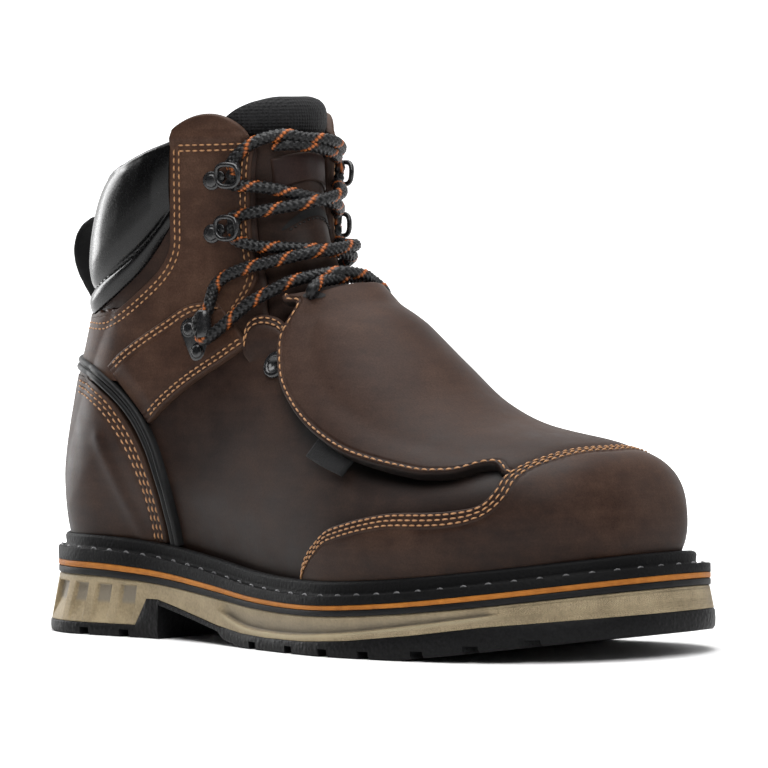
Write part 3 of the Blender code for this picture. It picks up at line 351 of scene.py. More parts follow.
# a leather panel: grid on the last, edges named s(tart) and e(nd) row, l(eft) and r(ight) column
def panel(name, grid, low, thick, material, free="serl", seams=None, raised=None, skirt=1.2):
    seams = seams or {}
    normal = gridNormals(grid)
    rim = np.full(grid.shape[:2], 99.0)
    for edge in free:
        rim = np.minimum(rim, edgeRun(grid, edge))
    body = 1 - np.clip(1 - rim / 0.9, 0.0, 1.0) ** 2.4
    height = low + thick * (0.25 + 0.75 * body)
    for edge, rows in seams.items():
        run = edgeRun(grid, edge)
        for away in rows:
            height = height - 0.34 * np.exp(-((run - away) / 0.5) ** 2)
    if raised is not None:
        height = height + raised
    outer = grid + normal * height[..., None]
    rows, cols = outer.shape[:2]
    points = [outer.reshape(-1, 3)]
    faces = gridFaces(rows, cols)
    marks = [np.exp(-rim / 0.5).ravel()]
    count = rows * cols
    ids = np.arange(count).reshape(rows, cols)
    borders = {"s": ids[0], "e": ids[-1], "l": ids[:, 0], "r": ids[:, -1]}
    flatOuter, flatNormal = outer.reshape(-1, 3), normal.reshape(-1, 3)
    for edge in "serl":
        line = borders[edge]
        points.append(flatOuter[line] - flatNormal[line] * (skirt + thick * 0.3))
        marks.append(np.full(len(line), 1.0 if edge in free else 0.0))
        under = count + np.arange(len(line))
        faces += np.stack([line[:-1], line[1:], under[1:], under[:-1]], 1).tolist()
        count += len(line)
    made = meshPiece(name, np.concatenate(points), faces, material, {"rim": np.concatenate(marks)})
    turnOut(made)
    return made, outer, gridNormals(outer)


# a line on a panel at a set distance from one of its edges, with normals
def seamLine(outer, normal, edge, away, start=0.0, end=1.0):
    both = np.concatenate([outer, normal], 2)
    lines = both if edge in "lr" else flip(both)
    lines = lines[:, ::-1] if edge in "er" else lines
    made = []
    for line in lines:
        run = runAlong(line[:, :3])
        made.append(readAt(away, run, line))
    made = np.array(made)
    made = made[int(start * (len(made) - 1)):int(round(end * (len(made) - 1))) + 1]
    return made[:, :3], unit(made[:, 3:])


# rows of short stitches along lines, joined in one mesh, each marked for a painted highlight at its middle
# and painted shade at its ends
def stitches(name, lines, material, pitch=3.0, long=2.2, radius=0.4, lift=0.16):
    allPoints, allFaces, paintedGlints, count = [], [], [], 0
    sides, rings = 6, 5
    along = np.linspace(-0.5, 0.5, rings) * long
    thin = np.array([0.45, 0.9, 1.0, 0.9, 0.45])
    # painted highlight at each stitch's middle, painted shade where its ends dive into the leather
    paintedGlint = np.array([0.0, 0.75, 1.0, 0.75, 0.0])[:, None]
    arch = np.array([-1.3, 0.0, 0.35, 0.0, -1.3]) * radius
    turn = np.arange(sides) * 2 * math.pi / sides
    pattern = gridFaces(rings, sides, closed=True)
    for points, normals in lines:
        run = runAlong(points)
        number = int(run[-1] / pitch)
        if number < 1:
            continue
        at = (np.arange(number) + 0.5) * run[-1] / number
        spots = at[:, None] + along
        centre = readAt(spots, run, points)
        up = unit(readAt(spots, run, normals))
        ahead = unit(readAt(at + 0.4, run, points) - readAt(at - 0.4, run, points))[:, None]
        aside = unit(np.cross(ahead, up))
        spoke = np.cos(turn)[:, None] * aside[:, :, None] + np.sin(turn)[:, None] * up[:, :, None]
        ring = centre[:, :, None] + up[:, :, None] * (lift + arch)[:, None, None]
        ring = ring + spoke * (thin * radius)[:, None, None]
        allPoints.append(ring.reshape(-1, 3))
        paintedGlints.append(np.broadcast_to(paintedGlint, (number, rings, sides)).ravel())
        starts = count + np.arange(number) * rings * sides
        allFaces += (starts[:, None, None] + np.array(pattern)).reshape(-1, 4).tolist()
        count += number * rings * sides
    return meshPiece(name, np.concatenate(allPoints), allFaces, material, {"tone": np.concatenate(paintedGlints)})


def tube(path, radius, sides):
    path = np.asarray(path, float)
    tangent = unit(np.gradient(path, axis=0))
    normal = unit(np.cross(tangent[0], (0.1, 0.0, 1.0)))
    turn = np.arange(sides) * 2 * math.pi / sides
    radius = np.broadcast_to(radius, (len(path), sides))
    rings = []
    for p, t, r in zip(path, tangent, radius):
        normal = unit(normal - t * np.dot(normal, t))
        other = np.cross(t, normal)
        rings.append(p + r[:, None] * (np.outer(np.cos(turn), normal) + np.outer(np.sin(turn), other)))
    faces = gridFaces(len(path), sides, closed=True)
    faces.append(tuple(range(sides)))
    faces.append(tuple(range((len(path) - 1) * sides, len(path) * sides)))
    return np.concatenate(rings), faces


def smoothPath(points, step):
    p = np.asarray(points, float)
    p = np.concatenate([[2 * p[0] - p[1]], p, [2 * p[-1] - p[-2]]])
    made = []
    for a, b, c, d in zip(p[:-3], p[1:-2], p[2:-1], p[3:]):
        t = np.linspace(0.0, 1.0, 24, endpoint=False)[:, None]
        made.append(0.5 * (2 * b + (c - a) * t + (2 * a - 5 * b + 4 * c - d) * t**2
                           + (3 * b - a - 3 * c + d) * t**3))
    line = np.concatenate(made + [p[-2:-1]])
    run = runAlong(line)
    at = np.linspace(0.0, run[-1], int(run[-1] / step) + 1)
    return readAt(at, run, line), at


def joined(parts):
    points, faces, count = [], [], 0
    for p, f in parts:
        points.append(np.asarray(p, float))
        faces += [tuple(v + count for v in face) for face in f]
        count += len(p)
    return np.concatenate(points), faces


# material helpers
def newMaterial(name):
    material = bpy.data.materials.new(name)
    material.use_nodes = True
    tree = material.node_tree
    return material, tree, tree.nodes["Principled BSDF"]


def addNode(tree, kind, settings=None, sockets=None):
    made = tree.nodes.new("ShaderNode" + kind)
    for key, value in (settings or {}).items():
        setattr(made, key, value)
    for key, value in (sockets or {}).items():
        made.inputs[key].default_value = value
    return made


def noise(tree, scale, detail=3.0, rough=0.55, stretch=None):
    source = addNode(tree, "TexCoord").outputs["Object"]
    if stretch:
        mapping = addNode(tree, "Mapping", sockets={"Scale": stretch})
        tree.links.new(source, mapping.inputs["Vector"])
        source = mapping.outputs["Vector"]
    made = addNode(tree, "TexNoise", sockets={"Scale": scale, "Detail": detail, "Roughness": rough})
    tree.links.new(source, made.inputs["Vector"])
    return made.outputs["Fac"]


def cells(tree, scale, feature="F1", loose=1.0):
    coord = addNode(tree, "TexCoord")
    made = addNode(tree, "TexVoronoi", {"feature": feature}, {"Scale": scale, "Randomness": loose})
    tree.links.new(coord.outputs["Object"], made.inputs["Vector"])
    return made.outputs["Distance"]


def calc(tree, operation, a, b=None, c=None):
    made = addNode(tree, "Math", {"operation": operation})
    for i, value in enumerate((a, b, c)):
        if value is None:
            continue
        if isinstance(value, (int, float)):
            made.inputs[i].default_value = value
        else:
            tree.links.new(value, made.inputs[i])
    return made.outputs[0]


def remap(tree, value, low, high, outLow=0.0, outHigh=1.0):
    sockets = {"From Min": low, "From Max": high, "To Min": outLow, "To Max": outHigh}
    made = addNode(tree, "MapRange", sockets=sockets)
    tree.links.new(value, made.inputs["Value"])
    return made.outputs["Result"]


def ramp(tree, value, stops):
    made = addNode(tree, "ValToRGB")
    bar = made.color_ramp
    while len(bar.elements) < len(stops):
        bar.elements.new(0.5)
    for element, (spot, colour) in zip(bar.elements, stops):
        element.position = spot
        element.color = tuple(colour) + (1.0,)
    tree.links.new(value, made.inputs["Fac"])
    return made.outputs["Color"]


def mix(tree, factor, a, b, blend="MIX"):
    made = addNode(tree, "Mix", {"data_type": "RGBA", "blend_type": blend})
    for socket, value in ((made.inputs[0], factor), (made.inputs[6], a), (made.inputs[7], b)):
        if isinstance(value, (int, float)):
            socket.default_value = value
        elif isinstance(value, tuple):
            socket.default_value = value + (1.0,)
        else:
            tree.links.new(value, socket)
    return made.outputs[2]


def mark(tree, name):
    return addNode(tree, "Attribute", {"attribute_name": name}).outputs["Fac"]


def bump(tree, shader, height, strength, distance=0.0003):
    made = addNode(tree, "Bump", sockets={"Strength": strength, "Distance": distance})
    tree.links.new(height, made.inputs["Height"])
    tree.links.new(made.outputs["Normal"], shader.inputs["Normal"])


def setShader(shader, **values):
    names = {"rough": "Roughness", "specular": "Specular IOR Level"}
    for key, value in values.items():
        shader.inputs[names[key]].default_value = value


# oiled leather: warm patches, faint streaks, small specks and a soft uneven shine; painted shade darkens it
# towards the ground and under the guard's edge
def leather(name, dark, middle, light, cutEdge, rough=0.52, grain=0.22, specular=0.15):
    material, tree, shader = newMaterial(name)
    patches = noise(tree, 17.0, 4.0, 0.6)
    mottle = noise(tree, 120.0, 5.0, 0.68)
    streaks = noise(tree, 60.0, 4.0, 0.6, (1.0, 1.0, 5.0))
    fine = noise(tree, 1500.0, 3.0, 0.6)
    tone = calc(tree, "MULTIPLY_ADD", patches, 0.56, calc(tree, "MULTIPLY", mottle, 0.26))
    tone = calc(tree, "MULTIPLY_ADD", streaks, 0.18, tone)
    colour = ramp(tree, tone, ((0.38, dark), (0.5, middle), (0.63, light)))
    speck = remap(tree, fine, 0.3, 0.7, 0.74, 1.24)
    colour = mix(tree, 1.0, colour, speck, "MULTIPLY")
    colour = mix(tree, calc(tree, "MULTIPLY", mark(tree, "rim"), 0.9), colour, cutEdge)
    # painted shade: near-black wherever the upper is marked as lying in the guard's shadow
    colour = mix(tree, mark(tree, "shade"), colour, (0.002, 0.0015, 0.0013))
    # painted shade: colour halved at 30 mm up, rising to full from 110 mm, so lower parts look less lit
    coord = addNode(tree, "TexCoord")
    parted = addNode(tree, "SeparateXYZ")
    tree.links.new(coord.outputs["Object"], parted.inputs[0])
    paintedLowShade = remap(tree, parted.outputs["Z"], 0.03, 0.11, 0.5, 1.0)
    colour = mix(tree, 1.0, colour, paintedLowShade, "MULTIPLY")
    tree.links.new(colour, shader.inputs["Base Color"])
    shine = calc(tree, "MULTIPLY_ADD", mottle, 0.5, calc(tree, "MULTIPLY", patches, 0.5))
    tree.links.new(remap(tree, shine, 0.35, 0.65, rough - 0.07, rough + 0.09), shader.inputs["Roughness"])
    height = calc(tree, "MULTIPLY_ADD", mottle, 0.8, calc(tree, "MULTIPLY", fine, 0.55))
    bump(tree, shader, height, grain)
    setShader(shader, specular=specular)
    return material


def plainFinish(name, dark, light, rough, scale, grain, specular=0.5):
    material, tree, shader = newMaterial(name)
    tone = noise(tree, scale, 4.0, 0.6)
    patches = noise(tree, scale / 12.0, 3.0, 0.5)
    both = calc(tree, "MULTIPLY_ADD", tone, 0.5, calc(tree, "MULTIPLY", patches, 0.5))
    tree.links.new(ramp(tree, both, ((0.36, dark), (0.64, light))), shader.inputs["Base Color"])
    tree.links.new(remap(tree, tone, 0.3, 0.7, rough - 0.06, rough + 0.06), shader.inputs["Roughness"])
    bump(tree, shader, tone, grain)
    setShader(shader, specular=specular)
    return material


def pebbled(name, dark, light, rough, scale, grain, distance=0.0006, specular=0.3, loose=1.0):
    material, tree, shader = newMaterial(name)
    stones = cells(tree, scale, "SMOOTH_F1", loose)
    fine = noise(tree, scale * 2.2, 3.0, 0.6)
    tree.links.new(ramp(tree, fine, ((0.35, dark), (0.65, light))), shader.inputs["Base Color"])
    tree.links.new(remap(tree, fine, 0.3, 0.7, rough - 0.08, rough + 0.08), shader.inputs["Roughness"])
    height = calc(tree, "MULTIPLY_ADD", stones, -1.0, calc(tree, "MULTIPLY", fine, 0.25))
    bump(tree, shader, height, grain, distance)
    setShader(shader, specular=specular)
    return material


brown = leather("leatherBrown", (0.022, 0.0104, 0.007), (0.044, 0.0214, 0.0134), (0.076, 0.04, 0.0255),
                (0.05, 0.028, 0.019))
# the guard's copy of the brown leather, darker as painted shade for a panel facing up into the top lamp; its
# cut edges and skirt near black, partly dark edge paint and partly painted shade for the gap beneath the free
# edge
guardShadedBrown = leather("leatherGuard", (0.022, 0.0116, 0.0085), (0.036, 0.0192, 0.0135),
                     (0.054, 0.0302, 0.0212), (0.004, 0.003, 0.0027), specular=0.1)
vampBrown = leather("leatherVamp", (0.014, 0.0078, 0.0062), (0.025, 0.0136, 0.01), (0.044, 0.0238, 0.0162),
                    (0.05, 0.028, 0.019))
patchBrown = leather("patchSkin", (0.013, 0.0068, 0.006), (0.02, 0.01, 0.0085), (0.03, 0.015, 0.012),
                     (0.05, 0.03, 0.022), 0.5, 0.3)
padBlack = plainFinish("collarPadSkin", (0.0018, 0.0018, 0.002), (0.003, 0.003, 0.0032), 0.25,
                       1200.0, 0.05, 0.27)
pipingBlack = plainFinish("pipingSkin", (0.003, 0.003, 0.0032), (0.006, 0.006, 0.0064), 0.48,
                          900.0, 0.2, 0.2)
weltBlack = pebbled("weltRubber", (0.0022, 0.0022, 0.0024), (0.0048, 0.0048, 0.0051), 0.6,
                    900.0, 0.3, specular=0.1)
soleBlack = pebbled("outsoleRubber", (0.0036, 0.0036, 0.0039), (0.008, 0.008, 0.0085), 0.5,
                    600.0, 0.5, specular=0.1)
stripeBlack = plainFinish("stripeRubber", (0.005, 0.005, 0.0054), (0.01, 0.01, 0.0106), 0.55,
                          500.0, 0.2, 0.12)
runnerOrange = plainFinish("runnerRubber", (0.26, 0.088, 0.014), (0.41, 0.155, 0.028), 0.55,
                           260.0, 0.25, 0.12)
lining = plainFinish("liningCloth", (0.008, 0.008, 0.0085), (0.02, 0.02, 0.021), 0.9, 1500.0, 0.5)
insoleGrey = plainFinish("insoleCloth", (0.02, 0.02, 0.022), (0.05, 0.05, 0.053), 0.9, 1200.0, 0.5)
metalBlack = plainFinish("blackMetal", (0.006, 0.006, 0.0065), (0.012, 0.012, 0.013), 0.26,
                         700.0, 0.06, 0.6)


def threadFinish(name, ends, middle):
    material, tree, shader = newMaterial(name)
    twist = noise(tree, 2400.0, 2.0, 0.5)
    # painted highlight and shade: bright middle of each stitch, dark orange ends, from the tone mark
    tone = calc(tree, "MULTIPLY_ADD", mark(tree, "tone"), 0.8, calc(tree, "MULTIPLY", twist, 0.3))
    tree.links.new(ramp(tree, tone, ((0.15, ends), (0.95, middle))), shader.inputs["Base Color"])
    bump(tree, shader, twist, 0.3)
    setShader(shader, rough=0.5, specular=0.4)
    return material


threadGold = threadFinish("goldThread", (0.075, 0.024, 0.008), (0.42, 0.215, 0.092))
threadDark = plainFinish("darkThread", (0.008, 0.008, 0.008), (0.022, 0.021, 0.02), 0.5, 2500.0, 0.3)
threadGrey = plainFinish("greyThread", (0.03, 0.03, 0.032), (0.16, 0.16, 0.165), 0.35, 700.0, 0.3)
webbing = plainFinish("webbing", (0.0035, 0.0035, 0.0037), (0.0095, 0.0095, 0.01), 0.7, 1100.0, 0.6, 0.2)
meshBlack = pebbled("tongueMesh", (0.005, 0.005, 0.0054), (0.016, 0.016, 0.017), 0.7,
                    760.0, 1.0, 0.0011, 0.15, 0.12)
# painted shade for openings: the guard's lace slits and the tongue's keeper slot
slotPaintedShade = plainFinish("slotShade", (0.0035, 0.003, 0.003), (0.007, 0.006, 0.006), 0.8, 900.0, 0.3)
print("finishes made")

# upper: one wall with a lining inside
upperRows = [0.0, 0.3, 0.7, 1.1, 1.6, 2.2, 3.0, 3.7, 4.4, 5.2, 6.0, 6.8, form["slit"], 8.0, 8.6, 9.2, 9.8,
             10.4, 10.8, 11.2, 11.55, 11.8, 12.0, 12.35, 12.8, 13.3, 13.9, 14.5, 15.1, 15.7, 16.3, 17.0]
upperShares = [0.0, 0.14, 0.26, 0.36, 0.45, 0.51, 0.56, 0.63, 0.72, 0.82, 0.91, 1.0]


def finer(values, times):
    count = len(values)
    return np.interp(np.linspace(0, count - 1, (count - 1) * times + 1), np.arange(count), values)


# toe cap: wing-shaped, three stitch rows along its rear edge
cap = {"low": 0.9, "thick": 1.9, "tipK": 0.12, "topK": 3.5, "corner": 8, "spring": 1.2, "square": 0.12,
       "seams": (2.4, 4.5, 6.6), "above": 3.6}
capEdge = (  # station, height
    (183.3, 30.4), (186.5, 35.9), (192.4, 41.6), (199.8, 46.8), (207.9, 49.6), (222.9, 52.7), (237.0, 54.3),
    (258.8, 55.4), (270.2, 57.6), (274.4, 62.0), (275.4, 66.5), (278.0, 69.9), (282.0, 72.8))


def turnAboveBead(k, above):
    turns = np.linspace(0.0, math.pi, 240)
    p = last(np.full(turns.shape, float(k)), turns, -1)
    over = p[:, 2] - (ledge(np.clip(p[:, 0], 0.0, form["length"])) + above)
    return float(np.interp(0.0, np.maximum.accumulate(over), turns))


lowTurnK = np.linspace(0.05, 13.0, 160)
lowTurns = np.array([turnAboveBead(k, cap["above"]) for k in lowTurnK])


def lowTurn(k):
    return np.interp(k, lowTurnK, lowTurns)


def bothSides(shares):
    return [(-1, t) for t in shares] + [(1, t) for t in shares[-2::-1]]


capK, capPhi = fanAt(*np.array(capEdge).T)
capK, capPhi = np.append(capK, cap["topK"]), np.append(capPhi, math.pi)
capFan = np.column_stack([np.arange(len(capEdge) + 1), capK, capPhi])


# from the welt bead up to the cap's rear edge, wrapping round the toe as share nears 1
def capLine(share):
    at = share * len(capEdge)
    endK, endPhi = float(curve(capFan, 1, at)), float(curve(capFan, 2, at))
    cornerPhi = capFan[cap["corner"], 2]
    toward = max(0.0, (endPhi - cornerPhi) / (math.pi - cornerPhi)) if at > cap["corner"] else 0.0
    startK = endK + (cap["tipK"] - endK) * toward
    low = float(lowTurn(startK))
    steps = 90
    k = np.full(steps, startK)
    phi = np.linspace(low, max(low, min(cap["spring"], endPhi)), steps)
    power = max(1.0 - toward, cap["square"])
    rise = np.linspace(0.0, 0.5 ** (power / 2), steps)[1:]
    other = (1 - rise ** (2 / power)) ** (power / 2)
    up, along = np.concatenate([rise, other[::-1]]), np.concatenate([other, rise[::-1]])
    up, along = np.append(up, 1.0), np.append(along, 0.0)
    arcK = endK + (startK - endK) * along
    arcPhi = phi[-1] + (endPhi - phi[-1]) * up
    if share == 1.0:
        arcK = np.concatenate([k, np.linspace(startK, endK, steps)])
        arcPhi = np.concatenate([np.linspace(phi[-1], math.pi, steps), np.full(steps, math.pi)])
    return np.concatenate([k, arcK]), np.concatenate([phi, arcPhi])


def makeCap():
    columns = []
    for side, share in bothSides(np.linspace(0.0, 1.0, 110)):
        line = last(*capLine(share), side)
        run = runAlong(line)
        at = np.linspace(0.0, run[-1], 200)
        columns.append(readAt(at, run, line))
    grid = flip(spread(np.array(columns), [0.0], nearSteps(cap["seams"]), 60))
    made, outer, normal = panel("toeCap", grid, cap["low"], cap["thick"], brown, "e", {"e": cap["seams"]})
    place(made, "leather_brown", "toe_cap")
    return [seamLine(outer, normal, "e", away, 0.012, 0.988) for away in cap["seams"]]


capLines = makeCap()

# guard: a padded dome inside a soft flange, free along its sides and top
guard = {"thick": 2.3, "flange": 14.0, "dome": 1.3, "domeOver": 18.0, "trough": 0.4, "troughWide": 5.0,
         "fadeFrom": 14.0, "fadeOver": 30.0, "sunk": 1.9, "sunkOver": 3.4, "skirt": 2.2, "seams": (3.0,),
         "tuck": 0.16, "neck": 0.11, "neckK": 9.48, "neckWide": 0.22,
         "slit": (14.3, 130.4), "slitLong": 4.6, "slitHigh": 1.5, "slitLift": 8.6}
guardTop = (  # share from the free edge to the ridge, section where the top edge lies
    (0.0, 9.97), (0.1, 9.85), (0.15, 9.7), (0.23, 9.53), (0.47, 9.37), (0.72, 9.27), (1.0, 9.2))
guardEdge = (  # station, height
    (274.4, 67.6), (268.3, 70.0), (263.2, 69.4), (256.9, 67.2), (244.8, 65.5), (228.9, 66.4), (212.5, 69.3),
    (195.7, 75.0), (182.1, 81.7), (168.7, 90.6), (159.6, 99.4), (153.5, 109.8), (150.6, 116.6),
    (149.0, 123.1), (145.6, 131.0))
guardLift = (  # k, at the ridge, at the free edge
    (3.5, 0.7, 0.7), (4.0, 2.0, 1.8), (5.0, 4.6, 4.6), (6.0, 6.4, 6.2), (7.0, 7.6, 6.6), (8.0, 7.6, 6.4),
    (9.0, 5.8, 5.6), (10.0, 4.4, 4.8))
guardK, guardPhi = fanAt(*np.array(guardEdge).T)
freeEdge = np.column_stack([guardK, guardPhi])[np.argsort(guardK)]


def freeTurn(k):
    narrow = np.exp(-((k - guard["neckK"]) / guard["neckWide"]) ** 2)
    return curve(freeEdge, 1, k) + guard["neck"] * narrow


def makeGuard():
    backEdge = sorted(zip(capFan[-5:, 2], capFan[-5:, 1]))
    shares = np.linspace(0.0, 1.0, 100)
    deep = np.linspace(0.0, 1.0, 150)
    columns, ks = [], []
    for side, t in bothSides(shares):
        turn = float(freeTurn(cap["topK"]))
        front = float(straight(backEdge, 1, turn + t * (math.pi - turn))) - guard["tuck"]
        top = float(curve(guardTop, 1, t))
        k = front + (top - front) * deep
        e = freeTurn(k)
        columns.append(last(k, e + t * (math.pi - e), side))
        ks.append(k)
    rough = flip(np.array(columns))
    grid = spread(rough, nearSteps(guard["seams"]), nearSteps(guard["seams"]), 90)
    k = np.repeat(np.array(ks).T[:, 50:51], grid.shape[1], 1)
    normal = gridNormals(grid)
    across = 1 - np.abs(np.linspace(-1.0, 1.0, grid.shape[1]))
    free, ridge = curve(guardLift, 2, k), curve(guardLift, 1, k)
    lift = free + (ridge - free) * ease(across)
    rim = np.minimum(np.minimum(edgeRun(grid, "l"), edgeRun(grid, "r")), edgeRun(grid, "e") + 2.0)
    tuck = edgeRun(grid, "s")
    fade = ease((tuck - guard["fadeFrom"]) / guard["fadeOver"])
    inward = rim - guard["flange"]
    raised = guard["dome"] * ease(inward / guard["domeOver"]) * fade
    raised -= guard["trough"] * np.exp(-(inward / guard["troughWide"]) ** 2) * fade
    raised -= guard["sunk"] * np.exp(-(tuck / guard["sunkOver"]) ** 2)
    base = grid + normal * (lift + raised)[..., None]
    made, outer, normal = panel("instepGuard", base, 0.0, guard["thick"], guardShadedBrown, "erl",
                                {"l": guard["seams"], "r": guard["seams"]}, skirt=guard["skirt"])
    place(made, "leather_brown", "met_guard")
    away = guard["seams"][0]
    return [seamLine(outer, normal, edge, away) for edge in "lr"], outer, normal


guardLines, guardOuter, guardNormal = makeGuard()

# dip of the upper's rim under the pad, and painted shade: a dark band painted on the vamp where the guard's
# shadow falls
wall = {"rimDip": 0.62, "dipTurn": 1.75, "dipWide": 0.75, "shadeBelow": 0.13, "shadeSoft": 0.12}


def makeUpper():
    rows, shares = finer(upperRows, 4)[:, None], finer(upperShares, 5)
    sheet, shade = [], []
    for side in (-1, 1):
        turns = throat(rows, side) * shares
        dip = np.exp(-((turns - wall["dipTurn"]) / wall["dipWide"]) ** 2)
        lower = wall["rimDip"] * dip * ease((rows - 14.0) / 3.0)
        grid = last(rows - lower, turns, side)
        # painted shade: the vamp darkened just below the guard's free edge, where the guard's shadow falls
        under = ease((turns - freeTurn(rows) + wall["shadeBelow"]) / wall["shadeSoft"])
        shade.append((under * ease((rows - 3.7) / 0.3) * ease((10.2 - rows) / 0.6)).ravel())
        faces = gridFaces(len(rows), len(shares))
        sheet.append((grid.reshape(-1, 3), faces if side < 0 else [f[::-1] for f in faces]))
    points, faces = joined(sheet)
    made = meshPiece("upperWall", points, faces, vampBrown, {"shade": np.concatenate(shade)})
    work = bmesh.new()
    work.from_mesh(made.data)
    bmesh.ops.remove_doubles(work, verts=work.verts, dist=2e-5)
    bmesh.ops.recalc_face_normals(work, faces=work.faces)
    work.to_mesh(made.data)
    work.free()
    middle = Vector((0.07, 0.0, 0.06))
    if sum(f.area * f.normal.dot(f.center - middle) for f in made.data.polygons) < 0:
        made.data.flip_normals()
    made.data.materials.append(lining)
    shell = made.modifiers.new("wall", "SOLIDIFY")
    shell.thickness = form["wall"] * 0.001
    shell.offset = -1.0
    shell.material_offset = 1
    place(made, "leather_dark", "upper")


makeUpper()

# heel counter, and the ridged piping ahead of it
counter = {"low": 0.4, "thick": 1.7, "seams": (2.4, 4.7, 7.0), "bottom": 37.5, "top": 103.0,
           "fold": 0.7, "foldWide": 3.4, "groove": 0.32, "grooveWide": 0.55, "seamBack": 6.0}
counterEdge = (  # height, station
    (36.0, 85.0), (40.4, 85.3), (49.2, 85.5), (60.8, 84.0), (74.1, 77.6), (85.7, 68.4), (95.5, 57.6),
    (100.5, 46.0), (103.0, 34.0))
counterFold = (  # station, height
    (52.0, 78.0), (55.2, 71.4), (59.1, 64.8), (62.5, 58.2), (66.5, 50.8), (69.8, 44.1), (72.0, 38.0))
piping = {"wide": 5.6, "thick": 2.2, "low": 1.1, "back": 107.8}
pipingLine = (  # station, height
    (91.2, 37.0), (91.2, 40.4), (91.4, 48.5), (90.2, 60.2), (84.6, 73.4), (75.4, 86.0), (64.0, 96.0),
    (53.0, 102.2), (39.7, 106.0), (29.0, 107.4))


def tableFine(table, count):
    rows = np.column_stack([np.arange(len(table)), table])
    t = np.linspace(0.0, len(table) - 1.0, count)
    return np.stack([curve(rows, 1 + c, t) for c in range(len(table[0]))], 1)


def onPanel(s, z, side, lift):
    points = onLast(s, z, side)
    k, phi = fanAt(s, z)
    normals = outward(k, phi, side)
    return points + normals * lift, normals


# a side-view line's direction towards the toe, square to its run
def toeward(line):
    heading = unit(np.gradient(line, axis=0))
    return np.stack([heading[:, 1], -heading[:, 0]], 1)


def moved(line, away):
    return line + toeward(line) * away


# how far grid points lie from a line, seen from the side
def apartFrom(line, grid):
    return np.min(np.hypot(grid[..., None, 0] - line[:, 0], grid[..., None, 2] - line[:, 1]), 2)


# stations and heights of side-view rows from a first line to a second
def rowsBetween(table, shares):
    s = table[:, :1] + (table[:, 2:3] - table[:, :1]) * shares
    z = table[:, 1:2] + (table[:, 3:4] - table[:, 1:2]) * shares
    return s, z


def makeCounter():
    levels = np.linspace(counter["bottom"], counter["top"], 120)
    rear = backStation(levels) + 0.02
    reach = curve(counterEdge, 1, levels) - rear
    bend = np.cos(np.linspace(0.0, math.pi / 2, 80))
    turned = 1 - np.sqrt(np.maximum(0.0, 1 - bend**2))
    stations = rear[:, None] + reach[:, None] * turned
    heights = np.broadcast_to(levels[:, None], stations.shape)
    lateral, medial = onLast(stations, heights, -1), onLast(stations, heights, 1)
    grid = np.concatenate([lateral, medial[:, -2::-1]], 1)
    grid = spread(grid, nearSteps(counter["seams"]), nearSteps(counter["seams"]), 80)
    apart = apartFrom(tableFine(counterFold, 60), grid)
    raised = counter["fold"] * np.exp(-(apart / counter["foldWide"]) ** 2)
    edge = tableFine([(s, z) for z, s in counterEdge], 160)
    sewn = counter["low"] + counter["thick"] - 0.3
    lines = []
    for away in counter["seams"]:
        seam = moved(edge, -away)
        ahead = seam[:, 0] > backStation(seam[:, 1]) + counter["seamBack"]
        seam = seam[ahead & (seam[:, 1] > counter["bottom"] + 1.0)]
        raised -= counter["groove"] * np.exp(-(apartFrom(seam, grid) / counter["grooveWide"]) ** 2)
        lines += [onPanel(seam[:, 0], seam[:, 1], side, sewn) for side in (-1, 1)]
    made = panel("heelCounter", grid, counter["low"], counter["thick"], brown, "elr", None, raised)[0]
    place(made, "leather_brown", "heel_counter")
    return lines


counterLines = makeCounter()


def makePiping():
    line = tableFine(pipingLine, 90)
    offsets = np.linspace(-0.5, 0.5, 25)
    swell = np.abs(np.sin((offsets + 0.5) * 2 * math.pi)) ** 0.55
    swell = piping["low"] + piping["thick"] * (0.35 + 0.65 * swell)
    swell[[0, -1]] = -0.6
    half = line[:, None] + toeward(line)[:, None] * offsets[:, None] * piping["wide"]
    heights = piping["back"] + offsets * piping["wide"]
    rear = np.stack([backStation(heights), heights], 1)
    closing = [rear + (half[-1] - rear) * (1 - t) ** 2 for t in np.linspace(0.0, 1.0, 18)[1:]]
    lateral = np.concatenate([half, closing])
    medial = lateral[-2::-1]
    grid = np.concatenate([onLast(lateral[..., 0], lateral[..., 1], -1),
                           onLast(medial[..., 0], medial[..., 1], 1)])
    outer = grid + gridNormals(grid) * swell[:, None]
    made = meshPiece("counterPiping", outer.reshape(-1, 3), gridFaces(*outer.shape[:2]), pipingBlack)
    turnOut(made)
    place(made, "collar_black", "counter_piping")


makePiping()

# shaft quarters, ankle straps and the tabs of the vamp over the straps' front ends
quarter = {"low": 0.3, "thick": 1.4, "setback": 1.0, "seams": (2.5, 4.7), "seamRows": 126,
           "groove": 0.3, "grooveWide": 0.5, "hems": (191.2, 193.4), "hemFrom": 101.5, "hemTo": 125.5,
           "fold": 196.4, "foldHigh": 0.45, "foldDip": 0.3, "dipBelow": 4.1}
quarterRows = (  # rear station, rear height, section at the throat, sag of the row, extra setback
    (19.6, 104.0, 10.75, 8.0, 8.0), (23.5, 114.0, 11.05, 5.0, 2.2), (28.0, 124.6, 11.35, 3.0, 0.2),
    (40.0, 126.0, 11.55, 1.6, 0.0), (60.0, 127.5, 11.8, 0.8, 0.0), (82.0, 140.0, 12.6, 0.0, 0.0),
    (92.4, 151.0, 13.6, 0.0, 0.0), (94.8, 165.0, 14.6, 0.0, 0.0), (96.2, 180.0, 15.3, 0.0, 0.0),
    (97.2, 191.0, 15.75, -2.0, 0.0), (97.8, 196.0, 15.95, -4.6, 0.0), (99.2, 199.6, 16.1, -8.0, 0.0))
strap = {"low": 1.3, "thick": 1.7, "seams": (2.3, 4.5)}
